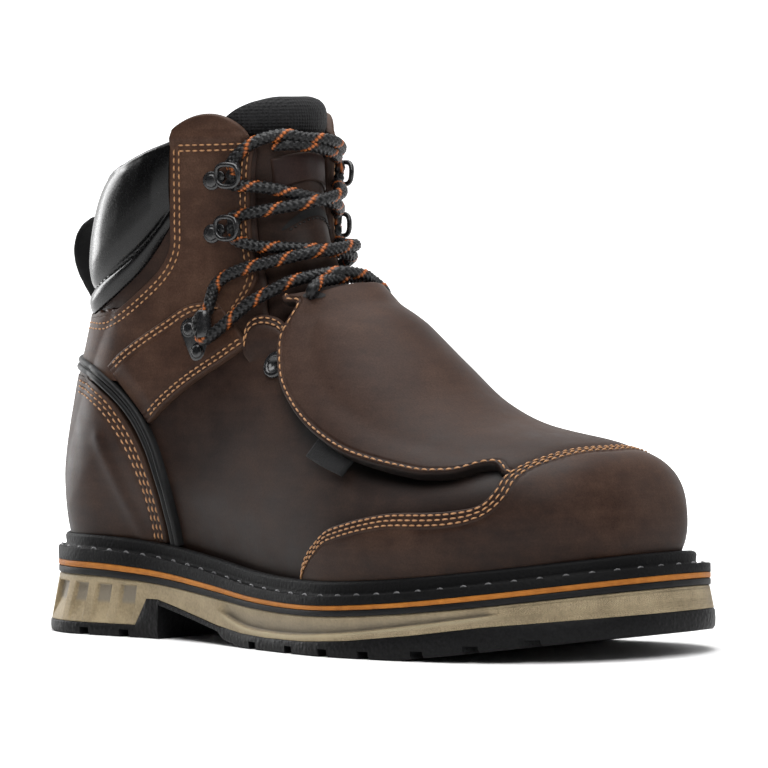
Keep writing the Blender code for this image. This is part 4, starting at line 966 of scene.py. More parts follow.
strapRows = (  # lower station and height, upper station and height
    (82.0, 84.6, 58.4, 107.2), (93.4, 93.0, 70.0, 114.4), (103.8, 99.6, 80.0, 119.8),
    (113.8, 105.0, 90.0, 125.0), (124.0, 110.3, 101.5, 131.0), (131.5, 115.5, 115.0, 132.4))
tab = {"low": 1.9, "thick": 1.5, "seams": (2.1, 4.3)}
tabBase = ((133.5, 108.0), (142.0, 108.5), (152.0, 110.0))
tabEdge = ((131.6, 113.6), (130.6, 119.0), (130.9, 123.4), (133.4, 125.9), (137.4, 126.5), (141.8, 125.8),
           (146.1, 124.1), (152.0, 119.0))


def makeQuarter(side, word):
    t = np.linspace(0.0, 1.0, 150)
    hump = np.sin(math.pi * t**1.35) ** 0.6
    rows = []
    for rearS, rearZ, frontK, sag, extra in tableFine(quarterRows, 120):
        half = float(section("gap", frontK)) + quarter["setback"] + max(extra, 0.0)
        front = last(frontK, phiAtHalf(frontK, half, side), side)
        z = rearZ + (front[2] - rearZ) * t - sag * (4 * t * (1 - t) if sag > 0 else hump)
        rear = max(rearS, float(backStation(rearZ)))
        rows.append(np.stack([rear + (front[0] - rear) * t, z], 1))
    flat = np.array(rows)
    grid = onLast(flat[..., 0], flat[..., 1], side)
    grid = spread(grid, nearSteps(quarter["seams"]), nearSteps(quarter["seams"]), 60)
    grid = flip(spread(flip(grid), [0.0], nearSteps(()), 120))
    tall = grid[..., 2]
    raised = quarter["foldHigh"] * np.exp(-((tall - quarter["fold"]) / 1.2) ** 2)
    raised -= quarter["foldDip"] * np.exp(-((tall - quarter["fold"] + quarter["dipBelow"]) / 1.6) ** 2)
    rearEdge = tableFine([row[:2] for row in quarterRows[2:-1]], 140)
    for away in quarter["seams"]:
        apart = apartFrom(moved(rearEdge, away), grid)
        raised -= quarter["groove"] * np.exp(-(apart / quarter["grooveWide"]) ** 2)
    made, outer, normal = panel("shaftQuarter" + word, grid, quarter["low"], quarter["thick"], brown, "rle",
                                {"r": quarter["seams"]}, raised)
    place(made, "leather_brown", "quarter_" + word.lower())
    face = quarter["low"] + quarter["thick"]
    lines = []
    for away in quarter["seams"]:
        seam = moved(rearEdge, away)[:quarter["seamRows"]]
        lines.append(onPanel(seam[:, 0], seam[:, 1], side, face - 0.3))
        lines.append(seamLine(outer, normal, "r", away, 0.02, 0.93))
    across = np.linspace(quarter["hemFrom"], quarter["hemTo"], 40)
    for height in quarter["hems"]:
        lines.append(onPanel(across, np.full(40, height), side, face - 0.2))
    return lines


def makeStrap(side, word):
    s, z = rowsBetween(tableFine(strapRows, 90), np.linspace(0.0, 1.0, 60))
    grid = spread(onLast(s, z, side), nearSteps(strap["seams"]), nearSteps(strap["seams"]), 24)
    dip = -1.1 * (1 - ease(edgeRun(grid, "s") / 9.0)) - 0.9 * (1 - ease(edgeRun(grid, "e") / 8.0))
    made, outer, normal = panel("ankleStrap" + word, grid, strap["low"], strap["thick"], brown, "lre",
                                {"l": strap["seams"], "r": strap["seams"]}, dip)
    place(made, "leather_brown", "strap_" + word.lower())
    return [seamLine(outer, normal, edge, away, 0.05, 0.98) for edge in "lr" for away in strap["seams"]]


def makeTab(side, word):
    rows = np.column_stack([tableFine(tabBase, 70), tableFine(tabEdge, 70)])
    s, z = rowsBetween(rows, np.linspace(0.0, 1.0, 60))
    grid = spread(onLast(s, z, side), [0.0], nearSteps(tab["seams"]), 14)
    reach = edgeRun(grid, "l") / np.maximum(edgeRun(grid, "l")[:, -1:], 0.1)
    sunk = -(tab["low"] + tab["thick"] + 0.3) * (1 - ease(reach / 0.62))
    made, outer, normal = panel("vampTab" + word, grid, tab["low"], tab["thick"], vampBrown, "rs",
                                {"r": tab["seams"]}, sunk)
    place(made, "leather_dark")
    return [seamLine(outer, normal, "r", away, 0.1, 1.0) for away in tab["seams"]]


shaftLines = []
for side, word in ((-1, "Lateral"), (1, "Medial")):
    shaftLines += makeQuarter(side, word) + makeStrap(side, word) + makeTab(side, word)
print("panels laid")

# collar pad: a low roll, a stitched channel and a full roll turned over the rim
padRows = (  # lower station and height, rim station and height
    (28.2, 125.6, 41.6, 170.0), (29.4, 125.6, 42.8, 170.6), (34.0, 125.8, 47.5, 173.6),
    (43.0, 127.0, 55.0, 177.6), (55.0, 131.4, 66.0, 182.2), (67.0, 137.4, 77.0, 186.2),
    (78.0, 144.6, 86.5, 189.4), (87.0, 153.0, 92.6, 191.2), (94.5, 162.0, 98.2, 193.0))
padProfile = (  # share up the pad, thickness
    (0.0, 0.6), (0.05, 2.6), (0.11, 3.6), (0.17, 2.8), (0.205, 1.1), (0.25, 2.9), (0.36, 5.2), (0.52, 6.4),
    (0.70, 6.6), (0.86, 5.8), (0.96, 4.6), (1.0, 3.8))
pad = {"fill": 0.8, "channel": 0.205, "over": 2.6, "inside": 3.4, "drop": 16.0,
       "fade": (0.62, 0.62, 0.66, 0.76, 0.9, 0.96, 0.94, 0.78, 0.3)}


def makePad():
    half = tableFine(padRows, 100)
    shares = np.linspace(0.0, 1.0, 80)
    fade = np.interp(np.linspace(0.0, len(padRows) - 1.0, 100), np.arange(len(padRows)), pad["fade"])
    s, z = rowsBetween(half, shares)
    s[0] = backStation(z[0])
    thick = np.outer(fade, curve(padProfile, 1, shares))
    grid = np.concatenate([onLast(s, z, -1)[::-1], onLast(s, z, 1)[1:]])
    thick = np.concatenate([thick[::-1], thick[1:]])
    normal = gridNormals(grid)
    outer = grid + normal * (0.3 + thick)[..., None]
    rim, out = grid[:, -1], normal[:, -1]
    up = np.array([0.0, 0.0, 1.0])
    turned = []
    for angle in np.linspace(0.0, math.pi, 12)[1:]:
        reach = 0.5 * (thick[:, -1:] + pad["inside"] + form["wall"])
        middle = rim + out * (0.3 + thick[:, -1:] - reach)
        turned.append(middle + out * reach * math.cos(angle) + up * pad["over"] * math.sin(angle))
    for deep in np.linspace(0.0, 1.0, 8)[1:]:
        turned.append(turned[10] - up * pad["drop"] * deep + out * 1.6 * ease(deep))
    foot = (grid - normal * 0.8)[:, :1]
    full = np.concatenate([foot, outer, np.stack(turned, 1)], 1)
    made = meshPiece("collarPad", full.reshape(-1, 3), gridFaces(*full.shape[:2]), padBlack)
    turnOut(made)
    place(made, "collar_black", "collar_pad")
    column = int(round(pad["channel"] * (len(shares) - 1)))
    return [(outer[8:-8, column], gridNormals(outer)[8:-8, column])]


padLines = makePad()

# tongue: leather face with a padded mesh top, a small patch and a slot that keeps the lace, its opening a
# patch of painted shade
tongueRows = (  # k, half width, set in below the last, thickness
    (7.8, 5.0, 3.4, 2.6), (8.3, 16.0, 3.4, 2.8), (9.0, 23.0, 3.3, 3.2), (10.0, 27.0, 3.3, 3.6),
    (11.5, 29.0, 3.3, 4.2), (13.0, 30.0, 3.0, 5.0), (14.5, 31.0, 3.0, 6.0), (15.8, 31.5, 3.0, 7.5),
    (16.4, 30.0, 3.0, 8.3), (16.8, 27.6, 3.1, 8.6), (17.12, 23.6, 3.5, 8.0), (17.36, 18.4, 4.1, 7.0),
    (17.53, 12.6, 4.8, 5.4), (17.63, 6.4, 5.8, 3.4))
tongue = {"fill": 0.7, "top": 17.63, "meshFrom": 16.0, "meshBow": 0.35, "puff": 2.3,
          "patch": (13.9, 15.15, 0.5), "slot": (12.42, 12.8, 0.5)}  # low k, high k, half share


def tonguePoints(ks, shares, above):
    ks, shares = np.broadcast_arrays(np.asarray(ks, float), np.asarray(shares, float))
    half = curve(tongueRows, 1, ks) * np.abs(shares)
    made = np.empty(ks.shape + (3,))
    for side in (-1, 1):
        phi = phiAtHalf(ks, half, side)
        points = last(ks, phi, side) + outward(ks, phi, side) * (above - curve(tongueRows, 2, ks))[..., None]
        made = np.where(((shares < 0) == (side < 0))[..., None], points, made)
    return made


def makeTongue():
    shares = np.linspace(-1.0, 1.0, 41)
    ks = np.linspace(tongueRows[0][0], tongue["top"], 90)[:, None]
    face = tonguePoints(ks, shares, 0.0)
    thick = curve(tongueRows, 3, ks) * (1 - 0.45 * shares**4)
    back = face - gridNormals(face) * thick[..., None]
    rows, cols = face.shape[:2]
    points = np.concatenate([face.reshape(-1, 3), back.reshape(-1, 3)])
    faces = gridFaces(rows, cols) + [f[::-1] for f in gridFaces(rows, cols, rows * cols)]
    ids = np.arange(rows * cols).reshape(rows, cols)
    ring = np.concatenate([ids[0], ids[1:, -1], ids[-1, -2::-1], ids[-2:0:-1, 0]])
    nextOne = np.roll(ring, -1)
    faces += np.stack([ring, ring + rows * cols, nextOne + rows * cols, nextOne], 1).tolist()
    made = meshPiece("tongueBody", points, faces, vampBrown)
    turnOut(made)
    place(made, "leather_dark", "tongue")
    deep = np.linspace(0.0, 1.0, 50)[:, None]
    shares = np.linspace(-1.02, 1.02, 61)
    low = tongue["meshFrom"] + tongue["meshBow"] * shares**2
    ks = low + (tongue["top"] - low) * deep
    puff = tongue["puff"] * np.clip(np.sin(deep * math.pi), 0.0, 1.0) ** 0.5 * (1 - 0.6 * shares**6)
    top = tonguePoints(ks, shares, 0.2)
    top = top + gridNormals(top) * puff[..., None]
    made = meshPiece("tongueMeshTop", top.reshape(-1, 3), gridFaces(*top.shape[:2]), meshBlack)
    turnOut(made)
    place(made, "fabric_black")
    low, high, half = tongue["patch"]
    grid = tonguePoints(np.linspace(low, high, 40)[:, None], np.linspace(-half, half, 50), 0.1)
    place(panel("tonguePatch", grid, 0.0, 0.9, patchBrown)[0], "leather_dark")
    # the keeper slot: a near-black patch of painted shade standing in for the opening
    low, high, half = tongue["slot"]
    shares = np.linspace(-half, half, 60)
    close = np.sqrt(np.clip(1 - (shares / half) ** 2, 0.0, 1.0))
    middle = (low + high) / 2 - 0.12 * (shares / half) ** 2
    ks = middle + (high - low) / 2 * close * np.linspace(-1.0, 1.0, 9)[:, None]
    slot = tonguePoints(ks, shares, 0.35)
    place(meshPiece("keeperSlot", slot.reshape(-1, 3), gridFaces(*slot.shape[:2]), slotPaintedShade), "leather_dark")
    normals = gridNormals(slot)
    sew = tonguePoints((middle - (high - low) / 2 * close - 0.1)[None], shares[None], 0.2)[0]
    return [(sew[4:-4], normals[0, 4:-4])]


tongueLines = makeTongue()
for name, lines, material, pitch, long in (
        ("capStitches", capLines, threadGold, 3.3, 3.0),
        ("guardStitches", guardLines, threadGold, 3.4, 3.1),
        ("counterStitches", counterLines, threadGold, 3.6, 3.2),
        ("shaftStitches", shaftLines, threadGold, 3.0, 2.7),
        ("padStitches", padLines, threadDark, 3.6, 2.4),
        ("tongueStitches", tongueLines, threadDark, 1.9, 1.2)):
    place(stitches(name, lines, material, pitch, long, 0.34), "leather_brown")
print("seams sewn")

# hooks, lock hooks and eyelets
hooks = {"top": (114.3, 179.5), "mid": (112.8, 158.8), "lock": (103.6, 121.6)}
ringHook = {"long": 10.2, "tall": 8.6, "wire": 1.0, "tilt": 0.2, "ahead": 8.6, "up": 2.3, "proud": 3.4}
lockHook = {"second": (4.6, -8.8), "half": 5.3}
lockStrip = (  # ahead, out: the bent claw that holds the lace
    (2.0, 0.6), (6.4, 0.9), (9.8, 1.6), (12.0, 3.0), (12.7, 4.9), (11.5, 6.5), (9.6, 6.9))
eyelet = {"at": (147.8, 108.0), "outer": 5.4, "inner": 3.2}
discProfile = (  # radius, height
    (3.7, -0.4), (3.7, 0.6), (3.35, 0.95), (2.65, 1.0), (2.5, 1.3), (2.1, 1.7), (1.4, 1.9), (0.5, 1.95))
hookSpots = {}


def frameOn(s, z, side):
    here = onLast(s, z, side)
    ahead = unit(onLast(s + 1.0, z, side) - onLast(s - 1.0, z, side))
    above = onLast(s, z + 1.0, side) - onLast(s, z - 1.0, side)
    out = unit(np.cross(ahead, above) * (1 if side < 0 else -1))
    across = np.cross(out, ahead)
    return here, ahead, out, across if across[2] > 0 else -across


def turnedDisc(centre, out, ahead, across, profile, sides=28):
    turn = np.arange(sides) * 2 * math.pi / sides
    spoke = np.outer(np.cos(turn), ahead) + np.outer(np.sin(turn), across)
    rings = [centre + spoke * r + out * h for r, h in profile]
    faces = gridFaces(len(profile), sides, closed=True)
    faces.append(tuple(range((len(profile) - 1) * sides, len(profile) * sides)))
    return np.concatenate(rings), faces


def roundedSquare(centre, a, b, halfA, halfB, power=2.8, count=56):
    turn = np.arange(count + 1) * 2 * math.pi / count
    ca, sa = np.cos(turn), np.sin(turn)
    return (centre + np.outer(np.sign(ca) * np.abs(ca) ** (2 / power) * halfA, a)
            + np.outer(np.sign(sa) * np.abs(sa) ** (2 / power) * halfB, b))


# thin plate whose outline wraps three round corners
def plate(centre, ahead, across, out, corners, thick):
    turn = np.arange(48) * 2 * math.pi / 48
    aim = np.stack([np.cos(turn), np.sin(turn)], 1)
    corners = np.array(corners)
    pick = np.argmax(aim @ corners[:, :2].T + corners[:, 2], 1)
    edge = corners[pick, :2] + aim * corners[pick, 2:3]
    flat = centre + np.outer(edge[:, 0], ahead) + np.outer(edge[:, 1], across)
    inner = centre + np.outer(edge[:, 0] * 0.94, ahead) + np.outer(edge[:, 1] * 0.94, across)
    rings = [flat - out * 0.3, flat + out * thick * 0.6, inner + out * thick]
    return np.concatenate(rings), gridFaces(3, 48, closed=True) + [tuple(range(96, 144))]


def makeLockHook(centre, ahead, out, across):
    low = centre + ahead * lockHook["second"][0] + across * lockHook["second"][1]
    parts = [turnedDisc(spot, out, ahead, across, discProfile) for spot in (centre, low)]
    corners = ((0.0, 0.0, 4.2), (lockHook["second"][0], lockHook["second"][1], 4.0), (7.0, 2.0, 3.6))
    parts.append(plate(centre, ahead, across, out, corners, 0.9))
    path, run = smoothPath([(a, o, 0.0) for a, o in lockStrip], 0.35)
    half = lockHook["half"] - 1.8 * ease((3.0 - run) / 3.0)
    middle = centre + across * 1.6 + np.outer(path[:, 0], ahead) + np.outer(path[:, 1], out)
    face = unit(np.cross(unit(np.gradient(middle, axis=0)), across))
    turn = np.linspace(0.0, 2 * math.pi, 18, endpoint=False)
    wide = np.sign(np.cos(turn)) * np.abs(np.cos(turn)) ** 0.5
    rings = (middle[:, None] + wide[:, None] * across * half[:, None, None]
             + np.sin(turn)[:, None] * face[:, None] * 0.8)
    faces = gridFaces(len(middle), 18, closed=True)
    faces += [tuple(range(18)), tuple(range((len(middle) - 1) * 18, len(middle) * 18))]
    return parts + [(rings.reshape(-1, 3), faces)]


def makeHooks(side, word):
    for name, (s, z) in hooks.items():
        here, ahead, out, across = frameOn(s, z, side)
        if name == "lock":
            centre = here + out * (strap["low"] + strap["thick"])
            parts = makeLockHook(centre, ahead, out, across)
            hold = centre + ahead * 9.0 + out * 3.9 + across * 1.6
        else:
            centre = here + out * (quarter["low"] + quarter["thick"])
            lean = unit(ahead * math.cos(ringHook["tilt"]) + out * math.sin(ringHook["tilt"]))
            middle = centre + out * ringHook["proud"] + lean * ringHook["ahead"] + across * ringHook["up"]
            loop = roundedSquare(middle, lean, across, ringHook["long"] / 2, ringHook["tall"] / 2)
            parts = [turnedDisc(centre, out, ahead, across, discProfile), tube(loop, ringHook["wire"], 12)]
            parts.append(plate(centre, ahead, across, out, ((0.0, 0.0, 3.4), (3.2, 1.4, 2.4)), 0.8))
            hold = centre + out * 1.7 + ahead * 9.8 + across * ringHook["up"]
        points, faces = joined(parts)
        made = meshPiece(name + "Hook" + word, points, faces, metalBlack)
        turnOut(made)
        made.data.set_sharp_from_angle(angle=math.radians(45))
        place(made, "metal_black", "hook_" + name + "_" + word.lower())
        hookSpots[name, side] = (hold, ahead, across)
    here, ahead, out, across = frameOn(*eyelet["at"], side)
    ring = ((eyelet["outer"], -0.3), (eyelet["outer"], 0.8), (eyelet["outer"] - 0.6, 1.4),
            (eyelet["inner"] + 0.6, 1.45), (eyelet["inner"], 0.9), (eyelet["inner"] - 0.1, 0.1))
    points, faces = turnedDisc(here + out * 0.2, out, ahead, across, ring)
    made = meshPiece("eyelet" + word, points, faces, metalBlack)
    turnOut(made)
    place(made, "metal_black", "eyelet_" + word.lower())


makeHooks(-1, "Lateral")
makeHooks(1, "Medial")

# lace: a round braided cord through the hooks and the guard's slits, ends hidden by the top hooks
lace = {"radius": 2.25, "over": 2.6, "strands": 6, "braid": 4.8, "bump": 0.26, "flatter": 0.65, "sides": 32}
laceRuns = {  # distance from the middle, height and lift off the last, from a hook towards the middle
    "topOver": ((25.1, 186.8, 3.0), (20.6, 193.6, 2.8), (12.1, 196.4, 2.6), (4.4, 194.8, 2.6)),
    "topLow": ((24.8, 177.9, 3.2), (16.8, 176.1, 2.6), (6.8, 172.3, 2.4)),
    "midUp": ((23.8, 165.3, 3.2), (17.1, 167.4, 2.6), (4.9, 169.4, 2.4)),
    "midLow": ((23.7, 156.3, 3.2), (19.9, 153.4, 3.0), (14.5, 152.3, 2.8), (6.6, 150.9, 2.6)),
    "lockUp": ((26.8, 138.8, 4.6), (23.3, 143.9, 4.8), (17.0, 146.7, 4.0), (8.1, 148.8, 3.4)),
    "lockLow": ((25.6, 127.2, 4.8), (23.3, 131.2, 4.8), (19.2, 135.5, 4.4), (15.3, 138.2, 3.8),
                (5.7, 139.6, 3.2)),
    "slitUp": ((14.3, 130.9, 9.6), (11.6, 134.6, 8.4), (8.4, 137.0, 5.6), (3.6, 138.5, 3.7))}
laceEnds = (  # place across, height and lift, of the hidden ends by the top hooks
    ((-15.0, 192.5, -0.5), (-9.0, 192.6, 2.0), (2.0, 191.0, 2.4), (14.0, 188.6, 2.6)),
    ((6.0, 193.6, 4.6), (15.0, 191.6, 4.4), (22.0, 190.0, 3.2), (26.0, 189.0, 0.4)))


# the point at this distance from the middle and this height, lifted off the last
def overThroat(y, z, lift):
    side = -1 if y < 0 else 1
    ks = np.linspace(7.6, 17.9, 240)
    heights = last(ks, phiAtHalf(ks, abs(y), side), side)[:, 2]
    k = float(np.interp(z, heights, ks))
    phi = float(phiAtHalf(k, abs(y), side))
    return last(k, phi, side) + outward(k, phi, side) * lift


def laceRun(name, side, over=0.0, back=False):
    rows = laceRuns[name]
    made = []
    for i, (y, z, lift) in enumerate(rows):
        near = i / (len(rows) - 1)
        flat = lace["flatter"] if side > 0 and z < 150.0 else 1.0
        made.append(overThroat(side * y, z, lift * flat + over * near**2))
    return made[::-1] if back else made


def braidFinish():
    material, tree, shader = newMaterial("laceBraid")
    weave = noise(tree, 2600.0, 2.0, 0.5)
    # painted shade: near-black in the gaps between the braid's strands
    low = ramp(tree, weave, ((0.35, (0.001, 0.001, 0.00105)), (0.65, (0.002, 0.002, 0.0021))))
    high = mix(tree, mark(tree, "fleck"), (0.014, 0.014, 0.0148), (0.4, 0.11, 0.024))
    tree.links.new(mix(tree, mark(tree, "strand"), low, high), shader.inputs["Base Color"])
    bump(tree, shader, weave, 0.3)
    setShader(shader, rough=0.34, specular=0.26)
    return material


def hookTurn(name, side, downward):
    hold, ahead, across = hookSpots[name, side]
    if name == "lock":
        turn = [hold + ahead * 2.5 + across * 5.2, hold - ahead * 1.2 + across * 2.6, hold - ahead * 2.0,
                hold - ahead * 1.2 - across * 2.6, hold + ahead * 2.5 - across * 5.6]
        return turn if downward else turn[::-1]
    rise = across * (2.3 if downward else -2.3)
    return [hold + ahead * 0.8 + rise, hold - ahead * 0.6, hold + ahead * 0.8 - rise]


def makeLace():
    dive = outward(9.2, 2.75, -1) * 9.0
    first = [overThroat(*row) for row in laceEnds[0]]
    first += laceRun("topOver", 1)[:1] + hookTurn("top", 1, True) + laceRun("topLow", 1, lace["over"])
    first += laceRun("midUp", -1, lace["over"], True) + hookTurn("mid", -1, True) + laceRun("midLow", -1)
    first += laceRun("lockUp", 1, 0.0, True) + hookTurn("lock", 1, True) + laceRun("lockLow", 1)
    first += laceRun("slitUp", -1, 0.0, True) + [laceRun("slitUp", -1)[0] - dive]
    second = [laceRun("slitUp", 1)[0] - dive * (1, -1, 1)] + laceRun("slitUp", 1, lace["over"])
    second += laceRun("lockLow", -1, lace["over"], True) + hookTurn("lock", -1, False)
    second += laceRun("lockUp", -1, lace["over"]) + laceRun("midLow", 1, lace["over"], True)
    second += hookTurn("mid", 1, False) + laceRun("midUp", 1) + laceRun("topLow", -1, 0.0, True)
    second += hookTurn("top", -1, False) + laceRun("topOver", -1)
    second += [overThroat(*row) for row in laceEnds[1]]
    parts, flecks, strands = [], [], []
    turn = np.arange(lace["sides"]) * 2 * math.pi / lace["sides"]
    for route in (first, second):
        line, run = smoothPath(route, 0.42)
        print("lace route, mm:", round(float(run[-1])))
        twist = run[:, None] * 2 * math.pi / lace["braid"]
        one, other = lace["strands"] / 2 * turn + twist, lace["strands"] / 2 * turn - twist
        braid = np.abs(np.sin(one) * np.sin(other))
        parts.append(tube(line, lace["radius"] * (1 + lace["bump"] * (braid - 0.4)), lace["sides"]))
        strands.append(ease(braid * 1.8 - 0.1).ravel())
        cord = np.mod(np.floor(one / math.pi), lace["strands"])
        flecks.append((cord == 0).astype(float).ravel())
    points, faces = joined(parts)
    made = meshPiece("laceCord", points, faces, braidFinish(),
                     {"fleck": np.concatenate(flecks), "strand": np.concatenate(strands)})
    turnOut(made)
    place(made, "lace_black", "lace")


makeLace()


# dark slits in the guard that the lace dives through: patches of painted shade laid on the guard for its
# openings
def makeSlits():
    parts = []
    turn = np.linspace(0.0, 2 * math.pi, 40, endpoint=False)
    flat = guardOuter.reshape(-1, 3)
    for side in (-1, 1):
        spot = overThroat(side * guard["slit"][0], guard["slit"][1], guard["slitLift"])
        nearest = int(np.argmin(np.linalg.norm(flat - spot, axis=1)))
        up = guardNormal.reshape(-1, 3)[nearest]
        if np.dot(up, spot - np.array([120.0, 0.0, 60.0])) < 0:
            up = -up
        ahead = unit(np.cross((0.0, 0.0, 1.0), up))
        across = np.cross(up, ahead)
        ring = np.outer(np.cos(turn) * guard["slitLong"], ahead)
        ring = ring + np.outer(np.sin(turn) * guard["slitHigh"], across)
        ring = flat[nearest] + np.concatenate([ring, ring * 0.5])
        close = flat[np.argmin(np.linalg.norm(flat[None] - ring[:, None], axis=2), axis=1)]
        ring += up * (((close - ring) @ up)[:, None] + 0.3)
        parts.append((ring, gridFaces(2, 40, closed=True) + [tuple(range(40, 80))]))
    points, faces = joined(parts)
    place(meshPiece("laceSlits", points, faces, slotPaintedShade), "leather_dark")


makeSlits()
print("laced")

# pull loop at the back and the tag under the guard's edge
loopRows = (  # station, height
    (33.0, 164.4), (29.6, 165.2), (20.4, 164.6), (12.9, 160.0), (9.8, 152.6), (11.6, 144.6), (17.5, 136.2),
    (23.5, 129.5), (27.0, 126.0))
pullLoop = {"half": 11.0, "thick": 1.9}
tag = {"lift": 3.4, "drop": 3.6, "thick": 1.0}
tagRows = (  # upper station and height, lower station and height
    (186.4, 80.4, 182.4, 73.0), (196.8, 76.4, 193.0, 69.2), (207.0, 73.2, 204.0, 65.8))


def makeLoop():
    line, run = smoothPath([(s, 0.0, z) for s, z in loopRows], 0.7)
    heading = unit(np.gradient(line, axis=0))
    out = np.stack([-heading[:, 2], np.zeros(len(line)), heading[:, 0]], 1)
    turn = np.linspace(0.0, 2 * math.pi, 40, endpoint=False)
    wide = np.sign(np.cos(turn)) * np.abs(np.cos(turn)) ** 0.35 * pullLoop["half"]
    deep = np.sign(np.sin(turn)) * np.abs(np.sin(turn)) ** 0.5 * pullLoop["thick"] / 2
    rib = 1 + 0.12 * np.sin(run / 0.9)[:, None]
    rings = line[:, None] + out[:, None] * (deep * rib)[..., None]
    rings[..., 1] += wide
    made = meshPiece("pullLoop", rings.reshape(-1, 3), gridFaces(len(line), 40, closed=True), webbing)
    turnOut(made)
    place(made, "fabric_black", "pull_loop")


def makeTag():
    t = np.linspace(0.0, 1.0, 20)
    grid = onLast(*rowsBetween(tableFine(tagRows, 30), t), -1)
    raised = np.broadcast_to(tag["lift"] + (tag["drop"] - tag["lift"]) * t, grid.shape[:2])
    made = panel("guardTag", grid, 0.0, tag["thick"], webbing, raised=raised, skirt=0.4)[0]
    place(made, "fabric_black", "guard_tag")


makeLoop()
makeTag()

# sole: welt with a pebbled bead, orange runner, black stripe, sculpted midsole, lugged outsole
welt = {"beadIn": 7.4, "beadOut": 3.6, "beadHigh": 5.2, "pitch": 9.6, "stitch": 3.4}


def soleRing(stations, inset, height):
    s = np.asarray(stations, float)
    inset = np.broadcast_to(inset(s) if callable(inset) else inset, s.shape)
    s = np.clip(s, inset[0], form["length"] - inset[-1])
    z = height(s)
    lateral = np.stack([s, swing(s) - halfWidth(s, -1, inset), z], 1)
    medial = np.stack([s, swing(s) + halfWidth(s, 1, inset), z], 1)
    return np.concatenate([lateral, medial[-2:0:-1]])


def spaced(count):
    t = np.linspace(0.0, 1.0, count)
    return form["length"] * (0.72 * (1 - np.cos(math.pi * t)) / 2 + 0.28 * t)


def stripFaces(start, count):
    faces = []
    for i in range(count // 2):
        face = [start + i, start + i + 1, start + count - i - 1, start + (count - i) % count]
        face = list(dict.fromkeys(face))
        if len(face) > 2:
            faces.append(tuple(face))
    return faces


def levelBelow(end, shift=0.0):
    def height(s):
        z = ledge(s)
        for column in range(2, end):
            z = z - curve(layers, column, s)
        return z + shift

    return height


def ringPiece(name, rings, material, slot, node):
    count = len(rings[0])
    faces = gridFaces(len(rings), count, closed=True)
    faces += stripFaces(0, count) + stripFaces((len(rings) - 1) * count, count)
    made = meshPiece(name, np.concatenate(rings), faces, material)
    turnOut(made)
    made.data.set_sharp_from_angle(angle=math.radians(50))
    place(made, slot, node)


def beadOut(s):
    return welt["beadOut"] + 1.9 * ease((70.0 - s) / 50.0) + 1.7 * ease((s - 240.0) / 50.0)


def beadIn(s):
    return welt["beadIn"] + 2.0 * ease((s - 240.0) / 50.0) + 0.8 * ease((60.0 - s) / 50.0)


def makeLayers():
    around = spaced(240)
    high = welt["beadHigh"]
    rings = [soleRing(around, beadIn, ledge), soleRing(around, beadIn, lambda s: ledge(s) + high - 0.9)]
    for angle in np.linspace(0.0, 1.0, 12):
        turn = angle * math.pi * 0.94
        rings.append(soleRing(
            around,
            lambda s: (beadIn(s) + beadOut(s)) / 2 + (beadIn(s) - beadOut(s)) / 2 * math.cos(turn),
            lambda s: ledge(s) + high - 1.9 + 1.9 * math.sin(turn)))
    rings += [soleRing(around, lambda s: beadOut(s) + 0.25, lambda s: ledge(s) + 1.1),
              soleRing(around, lambda s: beadOut(s) - 0.1, lambda s: ledge(s) + 0.1),
              soleRing(around, lambda s: beadOut(s) - 0.9, lambda s: ledge(s) - 0.35),
              soleRing(around, lambda s: draft(s) + 0.9, lambda s: ledge(s) - 0.1),
              soleRing(around, lambda s: draft(s) + 0.3, lambda s: ledge(s) - 0.05),
              soleRing(around, draft, lambda s: ledge(s) - 0.4), soleRing(around, draft, levelBelow(3))]
    ringPiece("weltBand", rings, weltBlack, "rubber_black", "welt")
    for name, column, finish, slot in (("stripeBand", 4, stripeBlack, "rubber_black"),
                                       ("runnerBand", 3, runnerOrange, "runner_orange")):
        rings = []
        for inset, end, shift in ((0.35, column, -0.05), (0.05, column, -0.35),
                                  (0.05, column + 1, 0.35), (0.35, column + 1, 0.05)):
            rings.append(soleRing(around, lambda s: draft(s) + inset, levelBelow(end, shift)))
        ringPiece(name, rings, finish, slot, name[:-4])
    inset = form["feather"] + form["wall"] + 1.0
    rings = [soleRing(around, inset, lambda s: ledge(s) + above) for above in (4.0, 0.4)]
    ringPiece("insoleBed", rings, insoleGrey, "insole_grey", "insole")
    line = soleRing(spaced(300), lambda s: (beadOut(s) + draft(s)) / 2 - 0.1, lambda s: ledge(s) - 0.2)
    line = np.concatenate([line, line[:1]])
    normals = np.broadcast_to(np.array([0.0, 0.0, 1.0]), line.shape)
    place(stitches("weltStitches", [(line, normals)], threadGrey, welt["pitch"], welt["stitch"], 0.5, 0.25),
          "rubber_black")


makeLayers()

mid = {"grooveDeep": 2.8, "windowTop": 20.6, "windowMid": 14.4, "windowLow": 5.2, "windowDeep": 1.9,
       "lean": 3.0, "hatchFrom": 205.0}
windows = ((18.0, 31.0), (35.5, 45.0), (49.5, 59.5), (64.0, 74.0))  # stations from and to
grooveLip = (  # station, height
    (126.5, 13.6), (145.0, 8.6), (168.0, 7.2), (207.0, 8.9), (245.0, 13.2), (283.0, 18.4))


